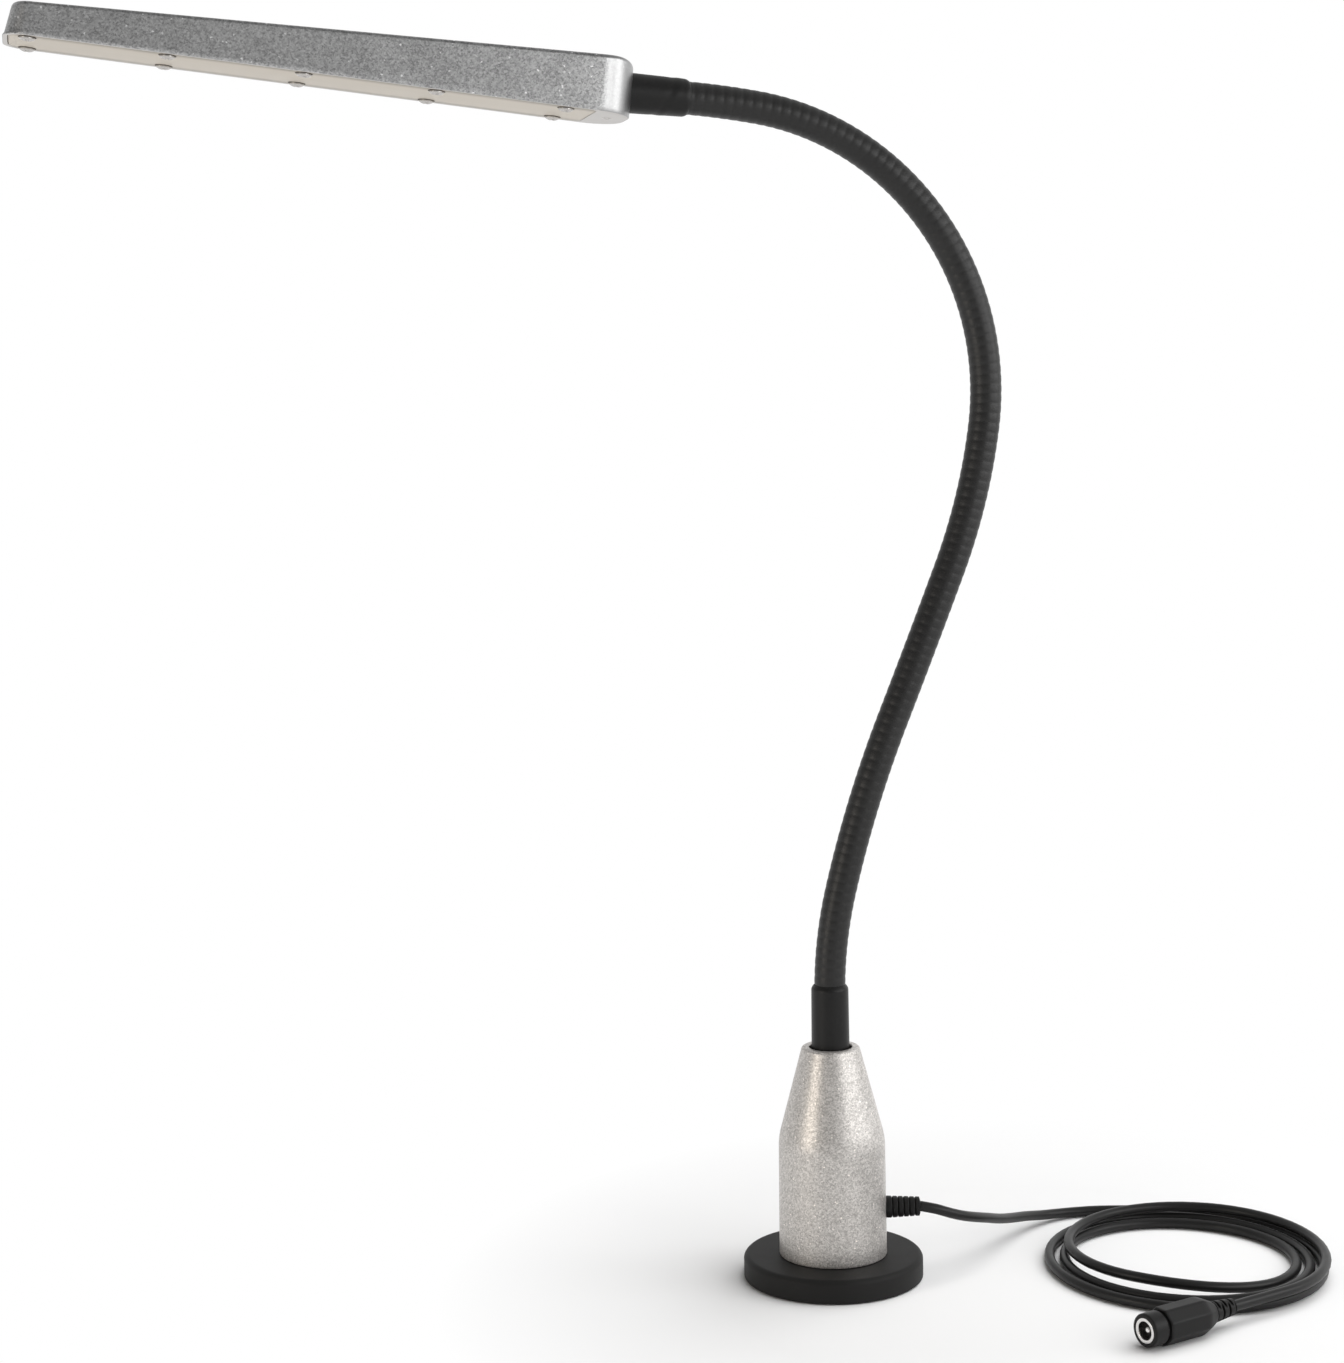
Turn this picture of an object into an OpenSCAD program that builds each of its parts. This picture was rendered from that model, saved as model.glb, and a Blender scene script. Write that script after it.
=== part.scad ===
// Magnetic work light: a wedge-shaped LED head on a ribbed gooseneck, a cast base on a rubber-coated
// magnet, and a coiled low-voltage cord that ends in an inline barrel socket.
// The origin is the centre of the magnet's underside, +Z is up, and the neck bends in the XZ plane.

/* [Magnet foot] */
// Diameter of the rubber-coated magnet
magnet_d = 66; // [56:1:88]
// Height of the magnet with its coat
magnet_h = 8.5; // [7.5:0.1:12]
// Rounding of the coat's upper edge
magnet_edge_r = 2; // [0.5:0.1:3]
// Rounding of the coat's lower edge
magnet_foot_r = 0.6; // [0.2:0.1:1.5]
// Thickness of rubber under the discs and over the plate
magnet_skin = 1; // [0.6:0.1:1.5]
// Thickness of rubber round the rim of the plate
magnet_rim = 3; // [2:0.1:5]
// Thickness of the steel backing plate
plate_t = 4; // [2:0.1:5]
// Diameter of one magnet disc
disc_d = 8; // [5:0.5:10]
// Distance from the rim of the plate to the outer ring of discs
disc_inset = 3; // [1:0.5:4]
// Number of discs in the outer ring
disc_count = 12; // [6:1:14]
// Diameter of the threaded stud
stud_d = 6; // [4:0.5:10]
// Length of the stud above the plate
stud_length = 6; // [3:0.1:6]

/* [Base body] */
// Diameter of the body where it stands on the magnet
body_d = 39.6; // [36:0.1:50]
// Diameter at the shoulder, a little less for draft
shoulder_d = 39; // [34:0.1:48]
// Diameter of the cone's upper end
body_rim_d = 21.6; // [20:0.1:26]
// Height of the round lower part
cylinder_h = 43.5; // [38:0.5:60]
// Height of the cone
cone_h = 34; // [28:0.5:60]
// Rounding of the upper rim
body_rim_r = 1.2; // [0.4:0.1:1.8]
// Diameter of the well that the neck drops into
well_d = 15.7; // [15.4:0.1:18]
// Depth of the well
well_depth = 24; // [18:0.5:26]
// Thickness of the web under the well
web_t = 6; // [3:0.1:8]
// Diameter of the driver's chamber
chamber_d = 26; // [24:0.1:30]
// Thickness of the plug that closes the chamber
plug_t = 6; // [6:0.1:9]

/* [Driver] */
// Width of the driver board
board_w = 20; // [12:0.5:21]
// Distance from the ferrule's stem down to the driver board
board_top_gap = 5; // [2:0.5:6]
// Thickness of the driver board
board_t = 1.6; // [1:0.1:2]
// Distance from the body's axis to the board's face
board_offset = 3; // [2.5:0.1:5]

/* [Cord gland] */
// Direction that the gland points in, turned from +X
gland_angle = -14.4; // [-25:0.1:0]
// Height of the gland's axis
gland_z = 25.2; // [22:0.1:30]
// Diameter of the first rib
gland_root_d = 8.1; // [7:0.1:9]
// Diameter of the last rib
gland_tip_d = 6.6; // [6:0.1:8]
// Length of the ribbed part
gland_length = 12.5; // [8:0.1:20]
// Number of ribs
gland_ribs = 5; // [3:1:9]
// Diameter of the gland's flange inside the wall
gland_flange_d = 11; // [9.5:0.1:12]
// Thickness of that flange
gland_flange_t = 2; // [1:0.1:3]

/* [Neck] */
// Diameter over the ribs of the sheath
neck_d = 11.4; // [11:0.1:11.5]
// Distance from rib to rib
rib_pitch = 3.5; // [3:0.1:6]
// Depth of the grooves between ribs
rib_depth = 0.35; // [0.1:0.05:0.6]
// Bore of the sheath
sheath_bore_d = 9.5; // [9.4:0.1:9.8]
// Diameter of the wound steel core
core_d = 8.4; // [7.6:0.1:8.4]
// Bore of the core
core_bore_d = 5; // [4.4:0.1:5.6]
// Diameter of the lead inside the core
neck_lead_d = 3.8; // [2.4:0.1:4]
// Upright length from the ferrule to the first bend
neck_rise = 40.5; // [30:0.5:60]
// Length of the first bend, away from the head
bend_1_length = 38; // [20:1:80]
// Turn of the first bend
bend_1_turn = -14; // [-30:1:0]
// Length of the second bend
bend_2_length = 66; // [40:1:120]
// Turn of the second bend
bend_2_turn = -9; // [-20:1:0]
// Length of the nearly straight stretch
bend_3_length = 58; // [20:1:120]
// Turn of the nearly straight stretch
bend_3_turn = 1; // [-5:1:5]
// Length of the bend that starts the bow
bend_4_length = 53; // [30:1:90]
// Turn of the bend that starts the bow
bend_4_turn = 14; // [5:1:30]
// Length of the bow
bow_length = 156; // [120:1:220]
// Turn of the bow
bow_turn = 89; // [60:1:100]
// Length of the bend that runs out to the head
bend_6_length = 26; // [15:1:60]
// Turn of the bend that runs out to the head
bend_6_turn = 5; // [0:1:10]
// Straight length from the last bend to the head
neck_runout = 20; // [20:0.5:40]
// Bare length from the last upright point to the first bending point
first_hinge_at = 29.5; // [15:0.5:40]
// Length from the last bending point to the end of the bends
last_hinge_at = 27.5; // [15:0.5:40]
// Gap between the sheaths of two links
link_gap = 3.2; // [2.6:0.1:4]

/* [Neck fittings] */
// Outer diameter of the lower sleeve
lower_sleeve_d = 13.4; // [12.8:0.1:14.8]
// Length of the lower sleeve past the neck's upright part
lower_sleeve_past = 3.5; // [0:0.5:5]
// Outer diameter of the upper sleeve
upper_sleeve_d = 13.4; // [12.8:0.1:15]
// Length of the upper sleeve past the neck's straight end
upper_sleeve_past = 0.5; // [0:0.5:3]
// Bore of both sleeves
sleeve_bore_d = 11.9; // [11.8:0.1:12.2]
// Bevel at the free end of both sleeves
sleeve_bevel = 0.5; // [0.1:0.1:0.6]
// Diameter of the ferrule's threaded stem
ferrule_stem_d = 10; // [8:0.1:11]
// Length of the lower stem under its flange
lower_stem_length = 12.5; // [11.5:0.1:16]
// Length of the upper stem inside the head
upper_stem_length = 17; // [12:0.1:17]
// Outer diameter of the cup that grips the core
ferrule_cup_d = 11.4; // [11:0.1:11.5]
// Depth of that cup
ferrule_cup_depth = 12; // [6:0.1:16]
// Diameter of the lower ferrule's flange
ferrule_flange_d = 15; // [14:0.1:15.2]
// Thickness of the ferrule's flange
ferrule_flange_t = 3; // [2:0.1:5]
// Bore through the ferrule for the lead
ferrule_bore_d = 6; // [5:0.1:6.6]
// Width across the flats of the ferrule's nut
nut_flats = 15; // [13:0.5:19]
// Height of the ferrule's nut
nut_h = 5; // [3:0.1:6]

/* [Head] */
// Length of the housing along its underside
head_length = 210; // [150:1:300]
// Width of the housing
head_width = 33; // [31:0.5:44]
// Height of the housing at its tip
tip_h = 10; // [9:0.1:14]
// Height of the housing at the neck
root_h = 19.2; // [17:0.1:26]
// Height of the neck's axis over the underside, at the neck
neck_over_underside = 9.7; // [9:0.1:12]
// Lean of the tip's end face
tip_lean = 2; // [0:0.1:3]
// Corner rounding at the tip, seen from above
tip_corner_r = 5; // [3.5:0.1:9]
// Corner rounding at the neck, seen from above
root_corner_r = 13; // [4:0.1:15]
// Rounding of the upper edges
head_edge_r = 2; // [0.5:0.1:2.5]
// Thickness of the housing's side walls
head_wall = 2.5; // [2.4:0.1:3.2]
// Thickness of the housing's roof
head_roof = 1.9; // [1.6:0.1:2.2]
// Solid length of the housing at the neck
root_block = 17; // [17:0.5:22]
// Width of the rib that carries the LED board
rib_w = 4; // [3:0.1:8]
// Size of the grub screw that holds the neck
grub_d = 4; // [2:0.1:5]
// Distance of the grub screw from the housing's end
grub_at = 7.5; // [5:0.1:11]

/* [Lens and LEDs] */
// Width of the housing's rim round the lens
lens_rim = 1.8; // [1.4:0.1:2]
// Thickness of the frosted lens cover
lens_t = 2; // [1.5:0.1:2.5]
// Distance of the lens from the housing's end at the neck
lens_start = 14; // [12:0.5:16]
// Thickness of the gasket over the lens
gasket_t = 0.8; // [0.4:0.1:1]
// Number of screws in a row
screws_per_row = 5; // [2:1:6]
// Distance of the last screw from the housing's end at the neck
last_screw_at = 24.4; // [23:0.1:40]
// Distance of the rows of screws from the housing's sides
screw_inset = 5.1; // [4.8:0.1:5.4]
// Distance of the first screw from the tip
first_screw_at = 8; // [7.5:0.1:9]
// Diameter of the screw's head
screw_head_d = 4.6; // [3.6:0.1:5.2]
// Height of the screw's head
screw_head_h = 1.3; // [0.6:0.1:2]
// Diameter of the screw's shank
screw_d = 2.4; // [1.6:0.1:2.6]
// Length of the shank over the lens's underside
screw_length = 6; // [5:0.1:6.4]
// Gap between the LED board and the screws' bosses
led_board_gap = 0.6; // [0.4:0.1:3]
// Thickness of the LED board
led_board_t = 1.2; // [0.8:0.1:1.4]
// Distance from the housing's ends to the LED board
led_board_inset = 21; // [21:0.5:26]
// Thickness of the thermal pad
pad_t = 0.5; // [0.3:0.1:0.6]
// Number of LED chips
led_count = 28; // [8:1:32]
// Length of one LED chip
led_length = 3.5; // [2:0.1:4]
// Width of one LED chip
led_w = 2.8; // [1.5:0.1:5]
// Height of one LED chip
led_h = 0.7; // [0.4:0.1:0.8]
// Air between the lens and the LED chips
led_air = 0.7; // [0.4:0.1:1]

/* [Cord and coil] */
// Diameter of the cord
cord_d = 3.8; // [3:0.1:3.9]
// Half width of the coil's outer loop, across the lay
coil_a_outer = 52.5; // [52:0.5:60]
// Half width of the coil's inner loop, across the lay
coil_a_inner = 40.5; // [38:0.5:41]
// Half depth of the coil's outer loop
coil_b_outer = 58; // [56:0.5:66]
// Half depth of the coil's inner loop
coil_b_inner = 39; // [36:0.5:42]
// How far the inner loop lies off the outer one's middle, away from the base
coil_inner_shift = 1; // [0:0.25:1]
// Clear height between the two layers
coil_layer_gap = 0.5; // [0.45:0.05:1]
// Straight length from the coil to the socket's relief
tail_length = 21.5; // [12:0.5:40]

/* [Inline socket] */
// Width of the moulded body across its flats
socket_flats = 12.4; // [12:0.1:14]
// Length of the moulded body's straight part
socket_prism_length = 18; // [10:0.5:26]
// Length of the moulded body's tapered back
socket_taper_length = 6; // [3:0.5:10]
// Length of the ribbed relief
relief_length = 10; // [6:0.5:20]
// Diameter of the relief at the body
relief_root_d = 7.6; // [6.5:0.1:9]
// Diameter of the relief at the cord
relief_tip_d = 5.6; // [5:0.1:7]
// Number of ribs on the relief
relief_ribs = 4; // [3:1:7]
// Diameter of the round collar
collar_d = 11.6; // [10.8:0.1:12]
// Length of the round collar
collar_length = 6; // [3.5:0.1:9]
// Width of the groove behind the collar
groove_w = 1; // [0.5:0.1:2]
// Outer diameter of the nickel barrel
barrel_d = 8.7; // [8:0.1:9.2]
// Bore of the nickel barrel
barrel_bore_d = 6.3; // [5.8:0.1:6.6]
// Depth of the barrel behind the collar
barrel_back = 3; // [2:0.1:6]
// Thickness of the insulator at the barrel's bottom
insulator_t = 2; // [1:0.1:3]
// Diameter of the centre pin
pin_d = 2.1; // [1.6:0.1:2.5]
// Distance of the pin's tip behind the face
pin_recess = 1; // [0.5:0.1:2]

/* [Hidden] */
$fn = 64;
eps = 0.01;
// Clearance of a piece that seats in another
fit = 0.1;
// Clearance round what passes freely through another
free = 0.3;

// Heights in the magnet and the base
disc_h = magnet_h - 2 * magnet_skin - plate_t;
plate_z = magnet_skin + disc_h;
plate_d = magnet_d - 2 * magnet_rim;
disc_ring_r = (plate_d - disc_d) / 2 - disc_inset;
disc_gap = 2;
shoulder_z = magnet_h + cylinder_h;
body_top_z = shoulder_z + cone_h;
well_z = body_top_z - well_depth;
chamber_top_z = well_z - web_t;
plug_top_z = magnet_h + plug_t;
neck_foot_z = well_z + ferrule_flange_t;
lower_stem_z = well_z - lower_stem_length;
board_h = lower_stem_z - plug_top_z - board_top_gap;

// Driver: two blocks of terminals, one for the cord and one for the neck's lead
block_w = 8;
block_h = 8;
block_depth = 2 * board_offset;
cord_block_z = gland_z - block_h / 2;
neck_block_top_z = cord_block_z + block_h + 7;
lead_foot_s = neck_block_top_z - neck_foot_z;
coil_can_d = 7;
coil_can_h = 4;
chip_size = [5, 4, 1.2];

// Gland, along its own axis from the body's axis
wall_r = body_d / 2;
gland_rib_depth = 0.6;
gland_exit_r = wall_r + gland_length;
gland_flange_r = sqrt(pow(chamber_d / 2, 2) - pow(gland_flange_d / 2, 2)) - free;
gland_stem_d = gland_root_d;

// Neck path: pairs of length and turn, walked from the ferrule up to the head
neck_path = [
    [neck_rise, 0],
    [bend_1_length, bend_1_turn],
    [bend_2_length, bend_2_turn],
    [bend_3_length, bend_3_turn],
    [bend_4_length, bend_4_turn],
    [bow_length, bow_turn],
    [bend_6_length, bend_6_turn],
    [neck_runout, 0]
];
neck_sides = 8;
link_count = 9;
bends_end_s = neck_length(len(neck_path) - 1);
head_s = neck_length(len(neck_path));
hinge_count = link_count - 1;
first_hinge_s = neck_rise + first_hinge_at;
last_hinge_s = bends_end_s - last_hinge_at;
hinge_pitch = (last_hinge_s - first_hinge_s) / (hinge_count - 1);
upper_cup_s = head_s - ferrule_flange_t - ferrule_cup_depth;
core_end_s = head_s - ferrule_flange_t;
lower_sleeve_length = neck_rise + lower_sleeve_past;
upper_sleeve_length = neck_runout + upper_sleeve_past;
core_step = 8;
dome_r = core_d / 2;
dome_open_r = core_bore_d / 2 + 0.4;
dome_end = sqrt(pow(dome_r, 2) - pow(dome_open_r, 2));
dome_steps = 3;
head_lead_length = root_block + 6;

// Head: x runs along the underside from the neck to the tip, z up from the underside
wedge_angle = atan((root_h - tip_h) / head_length);
head_slope = 180 - neck_angle(head_s) + wedge_angle;
head_root = neck_point(head_s);
recess_h = lens_t + gasket_t;
lens_gap = 0.2;
led_face_z = lens_t + led_air;
led_board_z = led_face_z + led_h;
pad_z = led_board_z + led_board_t;
rib_z = pad_z + pad_t;
rib_start = root_block + 14;
screw_pitch = (head_length - first_screw_at - last_screw_at) / (screws_per_row - 1);
screw_row_gap = head_width - 2 * screw_inset;
boss_bite = 0.3;
boss_d = 2 * (screw_inset - head_wall + boss_bite);
led_board_w = screw_row_gap - boss_d - 2 * led_board_gap;
led_board_length = head_length - led_board_inset - first_screw_at;
led_end_margin = 6;
led_pitch = (led_board_length - 2 * led_end_margin - led_length) / (led_count - 1);
corner_steps = 6;

// Cord: the stretch from the gland to the coil, points chosen by hand
lead_points = [
    [31.3, -8, 25.2],
    [37, -9.1, 24.4],
    [43, -8.8, 22],
    [49, -6.6, 19.8],
    [55.5, -2.4, 17.5],
    [62.5, 3.6, 14.8],
    [70, 11, 11.4],
    [78, 18.6, 8.4],
    [86.5, 25.6, 5.7],
    [95, 31, 3.6],
    [103.5, 34.4, 2.4],
    [112, 35.6, 1.9],
    [121, 34.5, 1.9],
    [130, 32, 1.9],
    [137.3, 29.8, 1.9]
];
cord_sides = 8;
cord_r = cord_d / 2;

// Coil: an oval spiral that winds in on the floor, climbs in a quarter turn and swings out on top.
// Angles run clockwise seen from above, from the far side of the oval.
coil_centre = [126.5, -27.5];
coil_turned = -14.4;
coil_sides = 6;
coil_step = 15;
coil_nudge = 0.1;
coil_low_z = cord_r;
coil_high_z = coil_low_z + cord_d + coil_layer_gap;
coil_turns_in = 2.35;
coil_climb_turns = 0.25;
coil_turns_out = 0.8167;
coil_in_end = 360 * coil_turns_in;
coil_out_start = coil_in_end + 360 * coil_climb_turns;
coil_end = coil_out_start + 360 * coil_turns_out;
coil_rings = round(coil_end / coil_step);

// Socket, along its own axis from the relief's cord end to the face
socket_axis_z = socket_flats / 2;
prism_z = relief_length + socket_taper_length;
prism_end_z = prism_z + socket_prism_length;
collar_z = prism_end_z + groove_w;
face_z = collar_z + collar_length;
groove_d = collar_d - 1.2;
barrel_z = prism_end_z - barrel_back;
relief_rib_depth = 0.7;

LINKS = [for (k = [1 : link_count]) k];

// Path of the neck

// Length of the first n stretches of the neck
function neck_length(n) = n == 0 ? 0 : neck_path[n - 1][0] + neck_length(n - 1);

// Point reached after length s on an arc that starts at p in direction a and turns by rate per millimetre
function arc_point(p, a, s, rate) =
    rate == 0
    ? p + s * [cos(a), sin(a)]
    : let (r = 180 / (PI * rate)) p + r * [sin(a + rate * s) - sin(a), cos(a) - cos(a + rate * s)];

// Place on the neck at length s: x, z and direction
function neck_state(s, k = 0, p = [0, neck_foot_z], a = 90) =
    let (length = neck_path[k][0], rate = neck_path[k][1] / length)
    s <= length || k == len(neck_path) - 1
    ? concat(arc_point(p, a, s, rate), [a + rate * s])
    : neck_state(s - length, k + 1, arc_point(p, a, length, rate), a + neck_path[k][1]);

function neck_point(s) = let (q = neck_state(s)) [q[0], 0, q[1]];
function neck_angle(s) = neck_state(s)[2];
function hinge_s(k) = first_hinge_s + (k - 1) * hinge_pitch;

// Rings and tubes

// Ring of points round c in the plane of u and v
function ring(c, u, v, r, sides) =
    [for (i = [0 : sides - 1]) let (a = 360 * (i + 0.5) / sides) c + r * (cos(a) * u + sin(a) * v)];

// Ring square to the neck at length s, or ahead of it along the neck's own direction
function neck_ring(s, r, ahead = 0) =
    let (a = neck_angle(s), t = [cos(a), 0, sin(a)], u = [0, 1, 0])
    ring(neck_point(s) + ahead * t, u, cross(t, u), r, neck_sides);

function unit(v) = v / norm(v);
function flat(lists) = [for (l = lists) each l];

// Direction of a route at point i: the chord of its neighbours, or the given end directions
function route_dir(p, i, first, last) =
    i == 0 ? first : i == len(p) - 1 ? last : unit(p[i + 1] - p[i - 1]);

// Rings of a cord along a route that is never upright
function cord_rings(p, first, last, sides) =
    [for (i = [0 : len(p) - 1])
        let (t = route_dir(p, i, first, last), u = unit(cross([0, 0, 1], t)))
        ring(p[i], u, cross(t, u), cord_r, sides)];

// Side faces between rings whose points start at index start, turned inside out for a bore
function wall_faces(rings, sides, start, inside) =
    [for (k = [0 : rings - 2], i = [0 : sides - 1])
        let (
            j = (i + 1) % sides,
            a = start + k * sides + i,
            b = start + k * sides + j,
            c = b + sides,
            d = a + sides
        )
        each inside ? [[a, c, d], [a, b, c]] : [[a, d, c], [a, c, b]]];

// Solid tube through a list of rings
module solid_tube(rings) {
    sides = len(rings[0]);
    last = (len(rings) - 1) * sides;
    first_cap = [for (i = [1 : sides - 2]) [0, i, i + 1]];
    last_cap = [for (i = [1 : sides - 2]) [last, last + i + 1, last + i]];
    polyhedron(flat(rings), concat(wall_faces(len(rings), sides, 0, false), first_cap, last_cap));
}

// Tube with a bore: outer rings and inner rings, joined at both ends
module hollow_tube(outer, inner) {
    sides = len(outer[0]);
    bore = len(outer) * sides;
    outer_end = bore - sides;
    bore_end = bore + (len(inner) - 1) * sides;
    ends = [for (i = [0 : sides - 1])
        let (j = (i + 1) % sides)
        each [
            [i, j, bore + j], [i, bore + j, bore + i],
            [outer_end + i, bore_end + j, outer_end + j], [outer_end + i, bore_end + i, bore_end + j]
        ]];
    faces = concat(
        wall_faces(len(outer), sides, 0, false),
        wall_faces(len(inner), sides, bore, true),
        ends
    );
    polyhedron(concat(flat(outer), flat(inner)), faces);
}

// Ribbed taper that is turned about z, from a large rib at 0 to a small one at its length
module ribbed_taper(length, d0, d1, ribs, depth) {
    pitch = length / ribs;
    function rib_d(z) = d0 + (d1 - d0) * z / length;
    outline = [for (k = [0 : ribs - 1])
        let (z0 = k * pitch, z1 = z0 + 0.62 * pitch, z2 = z0 + pitch)
        each [
            [rib_d(z0) / 2, z0],
            [rib_d(z1) / 2, z1],
            [rib_d(z1) / 2 - depth, z1],
            [rib_d(z2) / 2 - depth, z2]
        ]];
    rotate_extrude() polygon(concat([[0, 0]], outline, [[0, length]]));
}

// Tube turned about z with its far outer edge bevelled
module sleeve(d, bore, length) {
    rotate_extrude() polygon([
        [bore / 2, 0],
        [d / 2, 0],
        [d / 2, length - sleeve_bevel],
        [d / 2 - sleeve_bevel, length],
        [bore / 2, length]
    ]);
}

module at_gland() {
    translate([0, 0, gland_z]) rotate([0, 0, gland_angle]) rotate([0, 90, 0]) children();
}

// Frame at the end of the neck, with z running back down along it
module at_neck_end() {
    translate(head_root) rotate([0, 270 - neck_angle(head_s), 0]) rotate([0, 0, 180]) children();
}

module at_head() {
    translate(head_root) rotate([0, head_slope, 0]) rotate([0, 0, 180])
        translate([0, 0, -neck_over_underside]) children();
}

module at_socket() {
    translate(tail_end_point) rotate([0, 0, tail_heading]) rotate([0, 90, 0]) children();
}

// Magnet foot

module disc_places() {
    inner_count = 6;
    disc_inner_r = disc_ring_r - disc_d - disc_gap;
    for (k = [0 : disc_count - 1])
        rotate([0, 0, 360 * k / disc_count]) translate([disc_ring_r, 0, 0]) children();
    for (k = [0 : inner_count - 1])
        rotate([0, 0, 360 * (k + 0.5) / inner_count]) translate([disc_inner_r, 0, 0]) children();
}

module magnet_rubber_coat() color("#1d1d1e") {
    r = magnet_d / 2;
    difference() {
        union() {
            translate([0, 0, magnet_foot_r]) cylinder(magnet_h - magnet_foot_r - magnet_edge_r, r = r);
            cylinder(magnet_h, r = r - magnet_edge_r);
            translate([0, 0, magnet_h - magnet_edge_r])
                rotate_extrude() translate([r - magnet_edge_r, 0]) intersection() {
                    circle(magnet_edge_r);
                    square(magnet_edge_r);
                }
            translate([0, 0, magnet_foot_r])
                rotate_extrude() translate([r - magnet_foot_r, 0]) intersection() {
                    circle(magnet_foot_r);
                    translate([0, -magnet_foot_r]) square(magnet_foot_r);
                }
            cylinder(magnet_foot_r, r = r - magnet_foot_r);
        }
        translate([0, 0, plate_z]) cylinder(plate_t, d = plate_d + 2 * fit);
        translate([0, 0, plate_z]) cylinder(magnet_h, d = stud_d + 2 * free);
        translate([0, 0, magnet_skin]) disc_places() cylinder(disc_h + eps, d = disc_d + 2 * fit);
    }
}

module magnet_backing_plate() color("#8d9093") {
    translate([0, 0, plate_z]) cylinder(plate_t, d = plate_d);
}

module magnet_discs() color("#b9bcc0") {
    translate([0, 0, magnet_skin]) disc_places() cylinder(disc_h, d = disc_d);
}

module magnet_stud() color("#a5a8ab") {
    translate([0, 0, plate_z + plate_t]) cylinder(stud_length, d = stud_d);
}

// Base body

module body_outline() {
    top_r = body_rim_d / 2;
    rim = [for (k = [0 : corner_steps])
        let (a = 90 * k / corner_steps)
        [top_r - body_rim_r + body_rim_r * cos(a), body_top_z - body_rim_r + body_rim_r * sin(a)]];
    side = [[0, magnet_h], [body_d / 2, magnet_h], [shoulder_d / 2, shoulder_z]];
    polygon(concat(side, rim, [[0, body_top_z]]));
}

module base_body() color("#c3c5c8") {
    difference() {
        rotate_extrude() body_outline();
        translate([0, 0, well_z]) cylinder(well_depth + eps, d = well_d);
        translate([0, 0, chamber_top_z - eps]) cylinder(web_t + 2 * eps, d = ferrule_stem_d + 2 * fit);
        translate([0, 0, magnet_h - eps]) cylinder(chamber_top_z - magnet_h + eps, d = chamber_d);
        at_gland() cylinder(body_d, d = gland_stem_d + 2 * fit);
    }
}

module base_plug() color("#b4b6b9") {
    difference() {
        translate([0, 0, magnet_h]) cylinder(plug_t, d = chamber_d - 2 * fit);
        translate([0, 0, plate_z]) cylinder(plate_t + stud_length + fit, d = stud_d + 2 * fit);
    }
}

module cord_gland() color("#202021") {
    difference() {
        at_gland() {
            translate([0, 0, gland_flange_r - gland_flange_t]) cylinder(gland_flange_t, d = gland_flange_d);
            translate([0, 0, gland_flange_r - eps])
                cylinder(wall_r - gland_flange_r + eps, d = gland_stem_d);
            translate([0, 0, wall_r - eps])
                ribbed_taper(gland_length + eps, gland_root_d, gland_tip_d, gland_ribs, gland_rib_depth);
        }
        at_gland() cylinder(2 * gland_exit_r, d = cord_d + 2 * fit);
    }
}

// Driver in the base

module at_board() {
    rotate([0, 0, gland_angle]) children();
}

module driver_board() color("#2f6b3f") {
    at_board() translate([-board_offset - board_t, -board_w / 2, plug_top_z])
        cube([board_t, board_w, board_h]);
}

module driver_components() color("#3a3d42") {
    at_board() {
        translate([-board_offset, -block_w / 2, cord_block_z]) cube([block_depth, block_w, block_h]);
        translate([-board_offset, -block_w / 2, neck_block_top_z - block_h + 2])
            cube([block_depth, block_w, block_h - 2]);
        translate([-board_offset - board_t, 0, plug_top_z + 2 * coil_can_d])
            rotate([0, -90, 0]) cylinder(coil_can_h, d = coil_can_d);
        translate([-board_offset - board_t - chip_size[2], -chip_size[0] / 2, plug_top_z + chip_size[1]])
            cube([chip_size[2], chip_size[0], chip_size[1]]);
    }
}

module supply_lead() color("#1b1b1c") {
    at_gland() translate([0, 0, board_offset]) cylinder(gland_exit_r - board_offset, d = cord_d);
}

// Neck fittings

// Ferrule with its cup at 0, whose flange may keep a gap to a face that leans
module ferrule(flange_d, stem_length, face_gap = 0) {
    difference() {
        union() {
            translate([0, 0, -ferrule_flange_t - stem_length])
                cylinder(stem_length + face_gap + eps, d = ferrule_stem_d);
            translate([0, 0, face_gap - ferrule_flange_t])
                cylinder(ferrule_flange_t - face_gap, d = flange_d);
            translate([0, 0, -eps]) cylinder(ferrule_cup_depth + eps, d = ferrule_cup_d);
        }
        translate([0, 0, 0]) cylinder(ferrule_cup_depth + eps, d = core_d + 2 * fit);
        translate([0, 0, -ferrule_flange_t - stem_length - eps])
            cylinder(stem_length + ferrule_flange_t + 2 * eps, d = ferrule_bore_d);
    }
}

module lower_ferrule() color("#c9b16a") {
    translate([0, 0, neck_foot_z]) ferrule(ferrule_flange_d, lower_stem_length);
}

module lower_ferrule_nut() color("#a8aaad") {
    translate([0, 0, chamber_top_z - nut_h]) difference() {
        cylinder(nut_h, d = nut_flats / cos(30), $fn = 6);
        translate([0, 0, -eps]) cylinder(nut_h + 2 * eps, d = ferrule_stem_d + 2 * fit);
    }
}

module lower_sleeve() color("#19191a") {
    translate([0, 0, neck_foot_z]) sleeve(lower_sleeve_d, sleeve_bore_d, lower_sleeve_length);
}

// Upper sleeve, cut at the head's end face, which leans by the wedge's angle
module upper_sleeve() color("#19191a") {
    over = upper_sleeve_d * tan(wedge_angle);
    difference() {
        at_neck_end() translate([0, 0, -over])
            sleeve(upper_sleeve_d, sleeve_bore_d, upper_sleeve_length + over);
        at_head() translate([0, -head_width, -root_h]) cube([root_h, 2 * head_width, 3 * root_h]);
    }
}

module upper_ferrule() color("#c9b16a") {
    at_neck_end() translate([0, 0, ferrule_flange_t])
        ferrule(ferrule_cup_d, upper_stem_length, ferrule_cup_d / 2 * tan(wedge_angle));
}

// Links of the neck

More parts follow.
